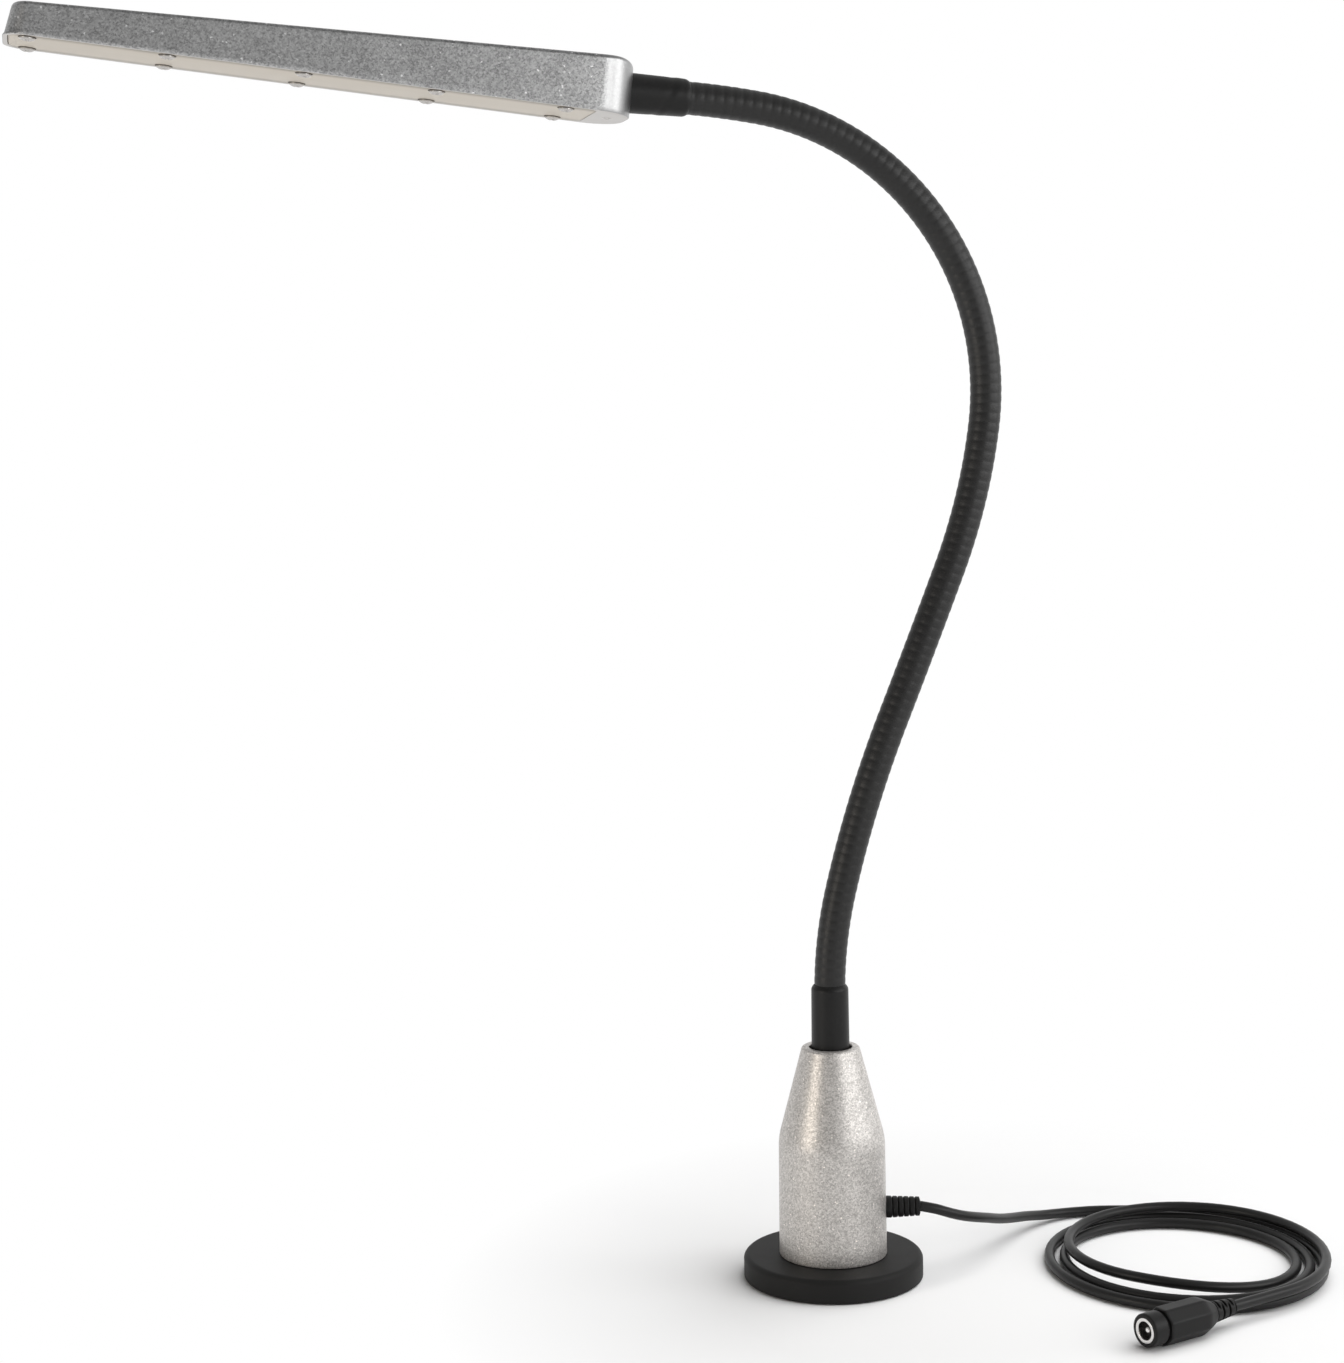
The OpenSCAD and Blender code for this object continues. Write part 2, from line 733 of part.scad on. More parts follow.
function link_start(k, gap) = k == 1 ? 0 : hinge_s(k - 1) + gap;
function link_end(k, gap, last) = k == link_count ? last : hinge_s(k) - gap;

// Sheath of link k: ribs outside, a plain bore inside
module neck_sheath(k) color("#1c1c1d") {
    s0 = k == 1 ? ferrule_cup_depth + free : link_start(k, link_gap / 2);
    s1 = link_end(k, link_gap / 2, upper_cup_s - free);
    ribs = round((s1 - s0) / rib_pitch);
    outer = [for (i = [0 : 2 * ribs])
        neck_ring(s0 + (s1 - s0) * i / (2 * ribs), neck_d / 2 - (i % 2 == 0 ? rib_depth : 0))];
    bore_steps = ceil(ribs / 3);
    inner = [for (i = [0 : bore_steps]) neck_ring(s0 + (s1 - s0) * i / bore_steps, sheath_bore_d / 2)];
    hollow_tube(outer, inner);
}

// Core of link k: its upper end is domed about the hinge, so that the next link can turn on it
module neck_core(k) color("#8c9094") {
    s0 = link_start(k, dome_r + free);
    s1 = link_end(k, 0, core_end_s);
    steps = ceil((s1 - s0) / core_step);
    straight = [for (i = [0 : steps]) neck_ring(s0 + (s1 - s0) * i / steps, core_d / 2)];
    dome = [for (i = [1 : dome_steps])
        let (ahead = dome_end * i / dome_steps)
        neck_ring(s1, sqrt(pow(dome_r, 2) - pow(ahead, 2)), ahead)];
    bore = [for (i = [0 : steps]) neck_ring(s0 + (s1 - s0) * i / steps, core_bore_d / 2)];
    bore_mouth = neck_ring(s1, core_bore_d / 2, dome_end);
    if (k == link_count) hollow_tube(straight, bore);
    else hollow_tube(concat(straight, dome), concat(bore, [bore_mouth]));
}

// Lead of link k: the first starts at the driver's terminals, the last ends over the LED board
module neck_lead(k) color("#4a4b4d") {
    s0 = k == 1 ? lead_foot_s : link_start(k, dome_r + free);
    s1 = link_end(k, 0, head_s + head_lead_length);
    steps = ceil((s1 - s0) / core_step);
    solid_tube([for (i = [0 : steps]) neck_ring(s0 + (s1 - s0) * i / steps, neck_lead_d / 2)]);
}

// Head

// Outline seen from above, between two ends, with its own corner rounding at each end
module plan(x0, x1, w, r0, r1) {
    translate([x0 + r0, -w / 2]) square([x1 - x0 - r0 - r1, w]);
    translate([x0, r0 - w / 2]) square([r0, w - 2 * r0]);
    translate([x1 - r1, r1 - w / 2]) square([r1, w - 2 * r1]);
    for (side = [-1, 1]) {
        translate([x0 + r0, side * (w / 2 - r0)]) circle(r0);
        translate([x1 - r1, side * (w / 2 - r1)]) circle(r1);
    }
}

// Points of a rounded corner at p, whose arms point along the directions a and b
function corner(p, a, b, r) =
    let (
        half = (b - a) / 2,
        reach = r / tan(abs(half)),
        centre = p + r / sin(abs(half)) * [cos(a + half), sin(a + half)],
        touch = p + reach * [cos(a), sin(a)] - centre,
        start = atan2(touch[1], touch[0]),
        sweep = half > 0 ? 2 * half - 180 : 2 * half + 180
    )
    [for (k = [0 : corner_steps]) let (q = start + sweep * k / corner_steps) centre + r * [cos(q), sin(q)]];

// Side view of the wedge, with its two upper corners rounded
module wedge_side() {
    tip = [head_length - tip_lean, tip_h];
    tip_face = atan2(-tip_h, tip_lean);
    polygon(concat(
        [[0, 0], [head_length, 0]],
        corner(tip, tip_face, -180 - wedge_angle, head_edge_r),
        corner([0, root_h], -wedge_angle, -90, head_edge_r)
    ));
}

// Cutter that rounds one upper edge, drawn with its corner at 0 and the body below and left of it
module edge_cutter() {
    r = head_edge_r;
    arc = [for (k = [0 : corner_steps])
        let (a = 90 * k / corner_steps) [r * cos(a) - r, r * sin(a) - r]];
    first = 2 * arc[0] - arc[1];
    last = 2 * arc[corner_steps] - arc[corner_steps - 1];
    inner = [for (k = [1 : corner_steps - 1]) arc[k]];
    polygon(concat([[r, first[1]], first], inner, [last, [last[0], r], [r, r]]));
}

module wedge_body() {
    difference() {
        intersection() {
            linear_extrude(2 * root_h) plan(0, head_length, head_width, root_corner_r, tip_corner_r);
            translate([0, head_width, 0]) rotate([90, 0, 0]) linear_extrude(2 * head_width) wedge_side();
        }
        for (side = [-1, 1])
            translate([0, 0, root_h]) rotate([0, wedge_angle, 0])
                translate([-root_h, side * head_width / 2, 0]) rotate([90, 0, 90])
                    linear_extrude(head_length + 2 * root_h) scale([side, 1]) edge_cutter();
    }
}

function roof_z(x) = root_h - x * tan(wedge_angle) - head_roof;

module lens_plan(inset) {
    plan(lens_start + inset, head_length - lens_rim - inset, head_width - 2 * (lens_rim + inset),
        tip_corner_r - lens_rim - inset, tip_corner_r - lens_rim - inset);
}

module chamber_plan() {
    plan(root_block, head_length - head_wall, head_width - 2 * head_wall,
        tip_corner_r - head_wall, tip_corner_r - head_wall);
}

module head_chamber() {
    end = head_length - head_wall - tip_lean;
    intersection() {
        translate([0, 0, lens_t]) linear_extrude(root_h) chamber_plan();
        translate([0, head_width, 0]) rotate([90, 0, 0]) linear_extrude(2 * head_width) polygon([
            [0, 0],
            [head_length, 0],
            [end, roof_z(end)],
            [0, roof_z(0)]
        ]);
    }
}

function screw_x(k) = head_length - first_screw_at - k * screw_pitch;

module screw_places() {
    for (k = [0 : screws_per_row - 1], side = [-1, 1])
        translate([screw_x(k), side * screw_row_gap / 2, 0]) children();
}

// Rib and bosses, which end inside the roof
module head_inner_walls() {
    rib_end = head_length - head_wall;
    translate([0, rib_w / 2, 0]) rotate([90, 0, 0]) linear_extrude(rib_w) polygon([
        [rib_start, rib_z],
        [rib_end, rib_z],
        [rib_end, roof_z(rib_end) + head_roof / 2],
        [rib_start, roof_z(rib_start) + head_roof / 2]
    ]);
    for (k = [0 : screws_per_row - 1], side = [-1, 1])
        translate([screw_x(k), side * screw_row_gap / 2, recess_h])
            cylinder(roof_z(screw_x(k)) + head_roof / 2 - recess_h, d = boss_d);
}

module head_housing() color("#bfc1c4") {
    at_head() difference() {
        union() {
            difference() {
                wedge_body();
                head_chamber();
                translate([0, 0, -1]) linear_extrude(recess_h + 1) lens_plan(0);
            }
            head_inner_walls();
        }
        screw_places() cylinder(screw_length + fit, d = screw_d + 2 * fit);
        translate([grub_at, 0, -1]) cylinder(neck_over_underside + 1, d = grub_d + 2 * fit);
        translate([0, 0, neck_over_underside]) rotate([0, 90 + wedge_angle, 0]) translate([0, 0, -root_h])
            cylinder(root_block + root_h + 2, d = ferrule_stem_d + 2 * fit);
    }
}

module head_grub_screw() color("#6f7276") {
    length = neck_over_underside - grub_at * tan(wedge_angle) - ferrule_stem_d / 2 - 2 * fit;
    at_head() translate([grub_at, 0, 0]) difference() {
        cylinder(length, d = grub_d);
        translate([0, 0, -eps]) cylinder(length / 2, d = grub_d / 2, $fn = 6);
    }
}

module led_board() color("#e9ebe8") {
    at_head() translate([led_board_inset, -led_board_w / 2, led_board_z])
        cube([led_board_length, led_board_w, led_board_t]);
}

module led_chips() color("#f0d878") {
    at_head() for (k = [0 : led_count - 1])
        translate([led_board_inset + led_end_margin + k * led_pitch, -led_w / 2, led_face_z])
            cube([led_length, led_w, led_h]);
}

module thermal_pad() color("#9aa0b0") {
    at_head() translate([rib_start, -rib_w / 2, pad_z])
        cube([head_length - first_screw_at - rib_start, rib_w, pad_t]);
}

module lens_gasket() color("#2a2a2b") {
    at_head() translate([0, 0, lens_t]) difference() {
        union() {
            linear_extrude(gasket_t) difference() {
                lens_plan(fit);
                chamber_plan();
            }
            screw_places() cylinder(gasket_t, d = boss_d - boss_bite);
        }
        translate([0, 0, -1]) screw_places() cylinder(gasket_t + 2, d = screw_d + 2 * free);
    }
}

module lens_cover() color("#e6e0d2") {
    at_head() difference() {
        linear_extrude(lens_t) lens_plan(lens_gap);
        translate([0, 0, -eps]) screw_places() cylinder(lens_t + 2 * eps, d = screw_d + 2 * free);
    }
}

module lens_screws() color("#c7c9cc") {
    at_head() screw_places() {
        cylinder(screw_length, d = screw_d);
        translate([0, 0, -screw_head_h]) rotate_extrude() polygon([
            [0, 0],
            [screw_head_d / 2 - screw_head_h / 2, 0],
            [screw_head_d / 2, screw_head_h / 2],
            [screw_head_d / 2, screw_head_h],
            [0, screw_head_h]
        ]);
    }
}

// Cord and coil

coil_right = [cos(coil_turned), sin(coil_turned), 0];
coil_far = [-sin(coil_turned), cos(coil_turned), 0];

// Share of the way from the inner loop to the outer one
function coil_share(a) =
    a < coil_in_end ? 1 - a / coil_in_end
    : a < coil_out_start ? 0
    : let (out = (a - coil_out_start) / (coil_end - coil_out_start)) out * out * (3 - 2 * out);

function coil_climb(a) = min(1, max(0, (a - coil_in_end) / (coil_out_start - coil_in_end)));

function coil_point(a) =
    let (
        share = coil_share(a),
        across = coil_a_inner + (coil_a_outer - coil_a_inner) * share,
        deep = coil_b_inner + (coil_b_outer - coil_b_inner) * share,
        z = coil_low_z + (coil_high_z - coil_low_z) * coil_climb(a)
    )
    [coil_centre[0], coil_centre[1], z] + deep * cos(a) * coil_far
        + (across * sin(a) + coil_inner_shift * (1 - share)) * coil_right;

coil_turn_points = [for (i = [0 : coil_rings]) coil_point(coil_end * i / coil_rings)];
coil_first_dir = unit(coil_point(coil_nudge) - coil_point(0));
coil_last_dir = unit(coil_point(coil_end) - coil_point(coil_end - coil_nudge));
coil_points = concat(
    [coil_turn_points[0] - cord_d * coil_first_dir],
    coil_turn_points,
    [coil_turn_points[coil_rings] + cord_d * coil_last_dir]
);
coil_start_point = coil_points[0];
coil_end_point = coil_points[len(coil_points) - 1];
tail_heading = atan2(coil_last_dir[1], coil_last_dir[0]);
tail_dir = [cos(tail_heading), sin(tail_heading), 0];
tail_end_point = [
    coil_end_point[0] + tail_length * tail_dir[0],
    coil_end_point[1] + tail_length * tail_dir[1],
    socket_axis_z
];
gland_dir = [cos(gland_angle), sin(gland_angle), 0];
gland_exit = [0, 0, gland_z] + gland_exit_r * gland_dir;
gland_shift = gland_exit - lead_points[0];
coil_shift = coil_start_point - lead_points[len(lead_points) - 1];
lead_route = [for (i = [0 : len(lead_points) - 1])
    let (
        share = i / (len(lead_points) - 1),
        p = lead_points[i] + (1 - share) * gland_shift + share * coil_shift
    )
    [p[0], p[1], max(p[2], cord_r)]];
tail_middle = (coil_end_point + tail_end_point) / 2;
tail_route = [coil_end_point, tail_middle, tail_end_point];

// Least gap of the coil to itself, from each point to every stretch more than a quarter turn away
function stretch_gap(p, a, b) =
    let (share = min(1, max(0, (p - a) * (b - a) / ((b - a) * (b - a))))) norm(p - a - share * (b - a));
quarter_turn = 90 / coil_step;
coil_self_gap = min([for (i = [0 : len(coil_points) - 1], j = [0 : len(coil_points) - 2])
    if (abs(i - j) > quarter_turn && abs(i - j - 1) > quarter_turn)
        stretch_gap(coil_points[i], coil_points[j], coil_points[j + 1])]) - cord_d;
function route_length(p, i = 1) = i == len(p) ? 0 : norm(p[i] - p[i - 1]) + route_length(p, i + 1);
echo(coil_self_gap = coil_self_gap);
echo(cord_length = route_length(lead_route) + route_length(coil_points) + route_length(tail_route));

module cord_lead() color("#1a1a1b") {
    solid_tube(cord_rings(lead_route, gland_dir, coil_first_dir, cord_sides));
}

module cord_coil() color("#1a1a1b") {
    solid_tube(cord_rings(coil_points, coil_first_dir, coil_last_dir, coil_sides));
}

module cord_tail() color("#1a1a1b") {
    solid_tube(cord_rings(tail_route, coil_last_dir, tail_dir, cord_sides));
}

// Inline socket

module socket_relief() color("#1c1c1d") {
    at_socket() translate([0, 0, relief_length]) rotate([180, 0, 0])
        ribbed_taper(relief_length, relief_root_d, relief_tip_d, relief_ribs, relief_rib_depth);
}

module socket_body() color("#232324") {
    at_socket() difference() {
        union() {
            translate([0, 0, relief_length]) rotate([0, 0, 22.5])
                cylinder(socket_taper_length, d1 = relief_root_d, d2 = socket_flats / cos(22.5), $fn = 8);
            translate([0, 0, prism_z]) rotate([0, 0, 22.5])
                cylinder(socket_prism_length, d = socket_flats / cos(22.5), $fn = 8);
        }
        translate([0, 0, barrel_z]) cylinder(barrel_back + eps, d = barrel_d + 2 * fit);
    }
}

module socket_collar() color("#1f1f20") {
    at_socket() difference() {
        union() {
            translate([0, 0, prism_end_z]) cylinder(groove_w + eps, d = groove_d);
            translate([0, 0, collar_z]) cylinder(collar_length, d = collar_d);
        }
        translate([0, 0, prism_end_z - eps]) cylinder(face_z, d = barrel_d + 2 * fit);
    }
}

module socket_barrel() color("#d2d3d4") {
    at_socket() translate([0, 0, barrel_z]) difference() {
        cylinder(face_z - barrel_z, d = barrel_d);
        translate([0, 0, -eps]) cylinder(face_z - barrel_z + 2 * eps, d = barrel_bore_d);
    }
}

module socket_insulator() color("#2b2b2c") {
    at_socket() translate([0, 0, barrel_z]) cylinder(insulator_t, d = barrel_bore_d - 2 * fit);
}

module socket_pin() color("#d8c27a") {
    at_socket() translate([0, 0, barrel_z + insulator_t])
        cylinder(face_z - barrel_z - insulator_t - pin_recess, d = pin_d);
}

magnet_rubber_coat();
magnet_backing_plate();
magnet_discs();
magnet_stud();
base_body();
base_plug();
cord_gland();
driver_board();
driver_components();
supply_lead();
lower_ferrule();
lower_ferrule_nut();
lower_sleeve();
upper_sleeve();
upper_ferrule();
head_grub_screw();
head_housing();
led_board();
led_chips();
thermal_pad();
lens_gasket();
lens_cover();
lens_screws();
cord_lead();
cord_coil();
cord_tail();
socket_relief();
socket_body();
socket_collar();
socket_barrel();
socket_insulator();
socket_pin();
for (k = LINKS) {
    neck_sheath(k);
    neck_core(k);
    neck_lead(k);
}
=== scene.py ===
# %% [markdown]
# # Magnetic work light
# A slim LED head sits on a neck that bends and stays where it is put. The neck stands in a cast base, the base
# holds to steel with a rubber-coated magnet, and a low-voltage cord lies coiled beside it.
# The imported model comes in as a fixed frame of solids. This lesson gives each solid its finish, and where the
# solid is plain it is covered by a fuller surface that numpy works out. Lengths are written in millimetres, as a
# maker would, and turned to metres when a mesh is made.

import math

import bmesh
import bpy
import numpy as np
from mathutils import Matrix, Vector


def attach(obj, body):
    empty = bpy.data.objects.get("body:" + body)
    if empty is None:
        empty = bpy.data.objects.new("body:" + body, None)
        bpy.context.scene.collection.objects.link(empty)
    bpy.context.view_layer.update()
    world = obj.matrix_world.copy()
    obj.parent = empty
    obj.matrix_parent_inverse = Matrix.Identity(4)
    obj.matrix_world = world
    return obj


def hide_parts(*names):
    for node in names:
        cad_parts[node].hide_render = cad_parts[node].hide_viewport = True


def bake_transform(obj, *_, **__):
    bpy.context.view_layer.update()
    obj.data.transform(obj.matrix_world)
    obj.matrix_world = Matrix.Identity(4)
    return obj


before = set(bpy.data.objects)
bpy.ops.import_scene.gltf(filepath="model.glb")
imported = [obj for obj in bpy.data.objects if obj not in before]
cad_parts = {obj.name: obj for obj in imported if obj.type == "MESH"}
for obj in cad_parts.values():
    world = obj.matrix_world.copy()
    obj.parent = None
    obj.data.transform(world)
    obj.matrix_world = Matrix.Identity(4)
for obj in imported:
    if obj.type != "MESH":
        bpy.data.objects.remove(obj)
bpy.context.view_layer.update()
MM = 0.001

# %% [markdown]
# ## Camera
# The picture was taken from about two thirds of the lamp's height, a little to the head's side, looking slightly
# down. The place, the direction and the lens were found by fitting known points of the lamp, so nothing has to be
# shifted or cropped.

# %% Camera
CAMERA_PLACE = Vector((-275.4, -857.3, 310.1)) * MM
LOOKS_ALONG = Vector((0.2454, 0.9644, -0.0984)).normalized()
PICTURE_UP = Vector((0.043, 0.0906, 0.995))

camera_data = bpy.data.cameras.new("camera")
camera_data.sensor_fit = "VERTICAL"
camera_data.sensor_height = 36.0
camera_data.lens = 66.08
camera = bpy.data.objects.new("camera", camera_data)
right = LOOKS_ALONG.cross(PICTURE_UP).normalized()
turn = Matrix((right, right.cross(LOOKS_ALONG), -LOOKS_ALONG)).transposed().to_4x4()
camera.matrix_world = Matrix.Translation(CAMERA_PLACE) @ turn
bpy.context.scene.collection.objects.link(camera)
bpy.context.scene.camera = camera
bpy.context.scene.view_settings.view_transform = "Standard"
print("camera at", [round(v, 3) for v in camera.matrix_world.translation])

# %% [markdown]
# ## Finishes
# A finish is a graph of nodes. Written out node by node it is long and hard to read, so one small class wraps a
# socket and lets plain arithmetic add the Math nodes. A second class holds the graph and makes every other node
# from its type, its settings and its sockets.


# %% Node arithmetic
class Value:
    """One output of a node. Arithmetic on it adds a Math node and gives that node's output."""

    def __init__(self, graph, socket):
        self.graph, self.socket = graph, socket

    def _math(self, operation, first, second):
        return self.graph.node("ShaderNodeMath", {"operation": operation}, {0: first, 1: second})

    def __add__(self, other):
        return self._math("ADD", self, other)

    def __sub__(self, other):
        return self._math("SUBTRACT", self, other)

    def __rsub__(self, other):
        return self._math("SUBTRACT", other, self)

    def __mul__(self, other):
        return self._math("MULTIPLY", self, other)

    def __gt__(self, other):
        return self._math("GREATER_THAN", self, other)

    __radd__ = __add__
    __rmul__ = __mul__


class Graph:
    """The nodes of one material or of the world."""

    def __init__(self, owner):
        owner.use_nodes = True
        self.owner, self.tree = owner, owner.node_tree
        self.tree.nodes.clear()

    def node(self, kind, settings=None, sockets=None, output=0):
        """Add a node: its settings first, then a value or a link for each socket. Wraps one of its outputs."""
        made = self.tree.nodes.new(kind)
        for key, value in (settings or {}).items():
            setattr(made, key, value)
        for key, value in (sockets or {}).items():
            if isinstance(value, Value):
                self.tree.links.new(value.socket, made.inputs[key])
            else:
                made.inputs[key].default_value = value
        return Value(self, made.outputs[output]) if len(made.outputs) else made


# %% Helpers for finishes
class Finish(Graph):
    """A material. Its patterns read Object coordinates, which are metres in the lamp's own frame."""

    def __init__(self, name):
        super().__init__(bpy.data.materials.new(name))
        self.point = self.node("ShaderNodeTexCoord", output="Object")

    def noise(self, size, detail=3.0, rough=0.55, stretch=(1, 1, 1)):
        """Soft noise from 0 to 1, whose grains are about size millimetres across, longer where stretch is small."""
        point = self.node("ShaderNodeVectorMath", {"operation": "MULTIPLY"}, {0: self.point, 1: stretch})
        sockets = {"Vector": point, "Scale": 1 / (size * MM), "Detail": detail, "Roughness": rough}
        return self.node("ShaderNodeTexNoise", sockets=sockets)

    def flakes(self, size):
        """A random value from 0 to 1 for each cell, and the cells are about size millimetres across."""
        sockets = {"Vector": self.point, "Scale": 1 / (size * MM)}
        cells = self.node("ShaderNodeTexVoronoi", sockets=sockets, output="Color")
        return self.node("ShaderNodeSeparateColor", sockets={"Color": cells})

    def mix(self, share, first, second):
        """A colour between two colours."""
        return self.node("ShaderNodeMix", {"data_type": "RGBA"}, {0: share, 6: first, 7: second}, 2)

    def spread(self, value, low, high):
        """Stretch what lies between low and high to run from 0 to 1, and cut off the rest."""
        sockets = {"Value": value, "From Min": low, "From Max": high}
        return self.node("ShaderNodeMapRange", sockets=sockets)

    def shade(self, height, depth, strength, **sockets):
        """Close the material with a Principled shader, whose normal follows height, depth millimetres deep."""
        named = {key.replace("_", " "): value for key, value in sockets.items()}
        bump = {"Strength": strength, "Distance": depth * MM, "Height": height}
        named["Normal"] = self.node("ShaderNodeBump", sockets=bump)
        shader = self.node("ShaderNodeBsdfPrincipled", sockets=named)
        self.node("ShaderNodeOutputMaterial", sockets={"Surface": shader})
        return self.owner


def grey(level, warm=0.0):
    """A colour of that brightness, with a little more red than blue where warm is above 0."""
    return (level * (1 + warm), level, level * (1 - warm), 1.0)


# %% [markdown]
# ## Surfaces
# Each new piece is a grid of points: rows run along a profile or a path, and columns run round it. One helper
# joins the rings of a grid with quads, and another puts the parts of a piece into one mesh. It merges the poles,
# checks that no edge is left open, and turns the faces outwards.


# %% Surface helpers
def skin(grid, ends="poles"):
    """Points and faces of a grid of rings. The end rings are poles on the axis, or both or one of them are filled
    with a face, or they are joined to each other, which makes the profile a closed loop."""
    rows, columns = grid.shape[:2]
    i, j = np.meshgrid(np.arange(rows if ends == "joined" else rows - 1), np.arange(columns), indexing="ij")
    after, beside = (i + 1) % rows, (j + 1) % columns
    corners = [i * columns + j, i * columns + beside, after * columns + beside, after * columns + j]
    caps = [np.arange(columns)[::-1]] if ends in ("filled", "first filled") else []
    caps += [np.arange(columns) + (rows - 1) * columns] if ends in ("filled", "last filled") else []
    return grid.reshape(-1, 3), np.stack(corners, axis=-1).reshape(-1, 4), caps


def make(name, parts, finishes, body=None, stands_for=(), crease=38):
    """One piece from the parts that skin() gave. It rides on a body and stands for its solids. A list of finishes
    gives each part its own."""
    starts = np.cumsum([0] + [len(points) for points, _, _ in parts])
    faces, finish_of = [], []
    for k, (start, (_, quads, caps)) in enumerate(zip(starts, parts)):
        faces += (quads + start).tolist() + [(cap + start).tolist() for cap in caps]
        finish_of += [k if isinstance(finishes, list) else 0] * (len(quads) + len(caps))
    mesh = bpy.data.meshes.new(name)
    mesh.from_pydata((np.concatenate([points for points, _, _ in parts]) * MM).tolist(), [], faces)
    mesh.polygons.foreach_set("material_index", finish_of)
    work = bmesh.new()
    work.from_mesh(mesh)
    bmesh.ops.remove_doubles(work, verts=work.verts, dist=1e-6)
    if work.calc_volume(signed=True) < 0:
        bmesh.ops.reverse_faces(work, faces=work.faces)
    open_edges = sum(not edge.is_manifold for edge in work.edges)
    volume = work.calc_volume() / MM**3
    work.to_mesh(mesh)
    work.free()
    mesh.shade_smooth()
    mesh.set_sharp_from_angle(angle=math.radians(crease))
    for finish in finishes if isinstance(finishes, list) else [finishes]:
        mesh.materials.append(finish)
    piece = bpy.data.objects.new(name, mesh)
    bpy.context.scene.collection.objects.link(piece)
    if body:
        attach(piece, body)
    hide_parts(*stands_for)
    print(f"{name}: {len(mesh.polygons)} faces, {volume:.1f} mm3, {open_edges} open edges")
    return piece


def unit(v):
    """Vectors of length 1."""
    return v / np.linalg.norm(v, axis=-1, keepdims=True)


# %% [markdown]
# ## Cord route
# The cord leaves the gland level, sinks to the floor, and is wound into nearly three and a half turns: it spirals
# in on the floor, climbs a little more than its own thickness in a quarter turn, and swings out on top to the
# socket. The first stretch goes through points that are listed one by one; the coil is a formula, so its turns
# stay clear of each other.

# %% Cord route
CORD_D = 3.8
GLAND_HEIGHT, GLAND_END = 25.2, 32.3
gland_turn = math.radians(-14.4)
gland_axis = np.array([math.cos(gland_turn), math.sin(gland_turn), 0.0])
gland_exit = GLAND_END * gland_axis + np.array([0, 0, GLAND_HEIGHT])
LEAD = np.array([
    [31.3, -8, 25.2], [37, -9.1, 23.9], [43, -8.8, 21.6], [49, -6.6, 19.3], [55.5, -2.4, 16.9], [62.5, 3.6, 14.1],
    [70, 11, 10.8], [78, 18.6, 8.0], [86.5, 25.6, 5.7], [95, 31, 3.6], [103.5, 34.4, 2.4], [112, 35.6, 1.9],
    [121, 34.5, 1.9], [130, 32, 1.9], [137.3, 29.8, 1.9],
])
WOUND_IN, CLIMBED, SWUNG_OUT = 846, 936, 1230.012
COIL_CENTRE = [126.5, -27.5]
STEP_UP = 4.3


def eased(x):
    """A step from 0 to 1 that starts and ends level: three squares less two cubes."""
    x = np.clip(x, 0, 1)
    return x * x * (3 - 2 * x)


def coil_at(degrees):
    """Point of the coil: an oval whose half axes grow with a share of the way from the inner loop to the outer one.
    The share falls to 0 over 2.35 turns, with a soft bend at the end, stays for a quarter turn while the cord climbs,
    and rises to 1 again. The inner loop lies a little further from the base than the outer one."""
    turn = np.radians(degrees)
    left = 1 - degrees / WOUND_IN
    share = (left + np.sqrt(left * left + 0.0004)) / 2 + eased((degrees - CLIMBED) / (SWUNG_OUT - CLIMBED))
    across = (40.5 + 12 * share) * np.sin(turn) + 1 - share
    deep = (39 + 19 * share) * np.cos(turn)
    height = CORD_D / 2 + STEP_UP * eased((degrees - WOUND_IN) / (CLIMBED - WOUND_IN))
    far = np.array([-gland_axis[1], gland_axis[0]])
    return np.column_stack([across[:, None] * gland_axis[:2] + deep[:, None] * far + COIL_CENTRE, height])


coil = coil_at(np.linspace(0, SWUNG_OUT, 206))
coil_start = coil[0] - CORD_D * unit(coil[1] - coil[0])
tail_end = np.array([115.385, -90.5744, 6.2])
print("coil starts at", np.round(coil_start, 2), "and its tail ends at", tail_end)

# %% [markdown]
# The listed stretch has to be one smooth curve too. A row of cubics passes through every point and leaves each
# along the line between its neighbours, which is what a stiff cord does.


# %% Cord tube
def through(points, per_span):
    """Smooth curve: on each span the cubic whose slope at a point is half the step between its neighbours."""
    p = np.concatenate([2 * points[:1] - points[1:2], points, 2 * points[-1:] - points[-2:-1]])
    t = (np.arange(per_span) / per_span)[None, :, None]
    a, b, c, d = (p[k : len(p) - 3 + k, None] for k in range(4))
    curve = b + t * (c - a) / 2 + t**2 * (a - 2.5 * b + 2 * c - d / 2) + t**3 * (1.5 * (b - c) + (d - a) / 2)
    return np.concatenate([curve.reshape(-1, 3), points[-1:]])


def hose(path, radius, sides=20):
    """Tube along a path that is never upright: at each point a ring in the plane of the level sideways direction and
    the direction square to it."""
    ahead = unit(np.gradient(path, axis=0))
    side = unit(np.cross([0, 0, 1], ahead))
    angle = np.linspace(0, 2 * np.pi, sides, endpoint=False)[None, :, None]
    ring = np.cos(angle) * side[:, None] + np.sin(angle) * np.cross(ahead, side)[:, None]
    return path[:, None] + np.reshape(radius, (-1, 1, 1)) * ring


way = np.linspace(0, 1, len(LEAD))[:, None]
lead = LEAD + (1 - way) * (gland_exit - LEAD[0]) + way * (coil_start - LEAD[-1])
lead[:, 2] = np.maximum(lead[:, 2], CORD_D / 2)
tail = coil[-1] + np.linspace(0, 1, 7)[1:, None] * (tail_end - coil[-1])
cord_path = np.concatenate([through(lead, 2), coil, tail])

# %% [markdown]
# ## Black finishes
# The cord, the gland, the neck and the sleeves are all black, but not the same black: the cord is soft vinyl with
# a satin shine, the neck's skin is duller, and the magnet's rubber is nearly matt with a fine pebble. One function
# makes them all from a colour, a gloss and the size of the grain, so that they differ only where the real ones do.


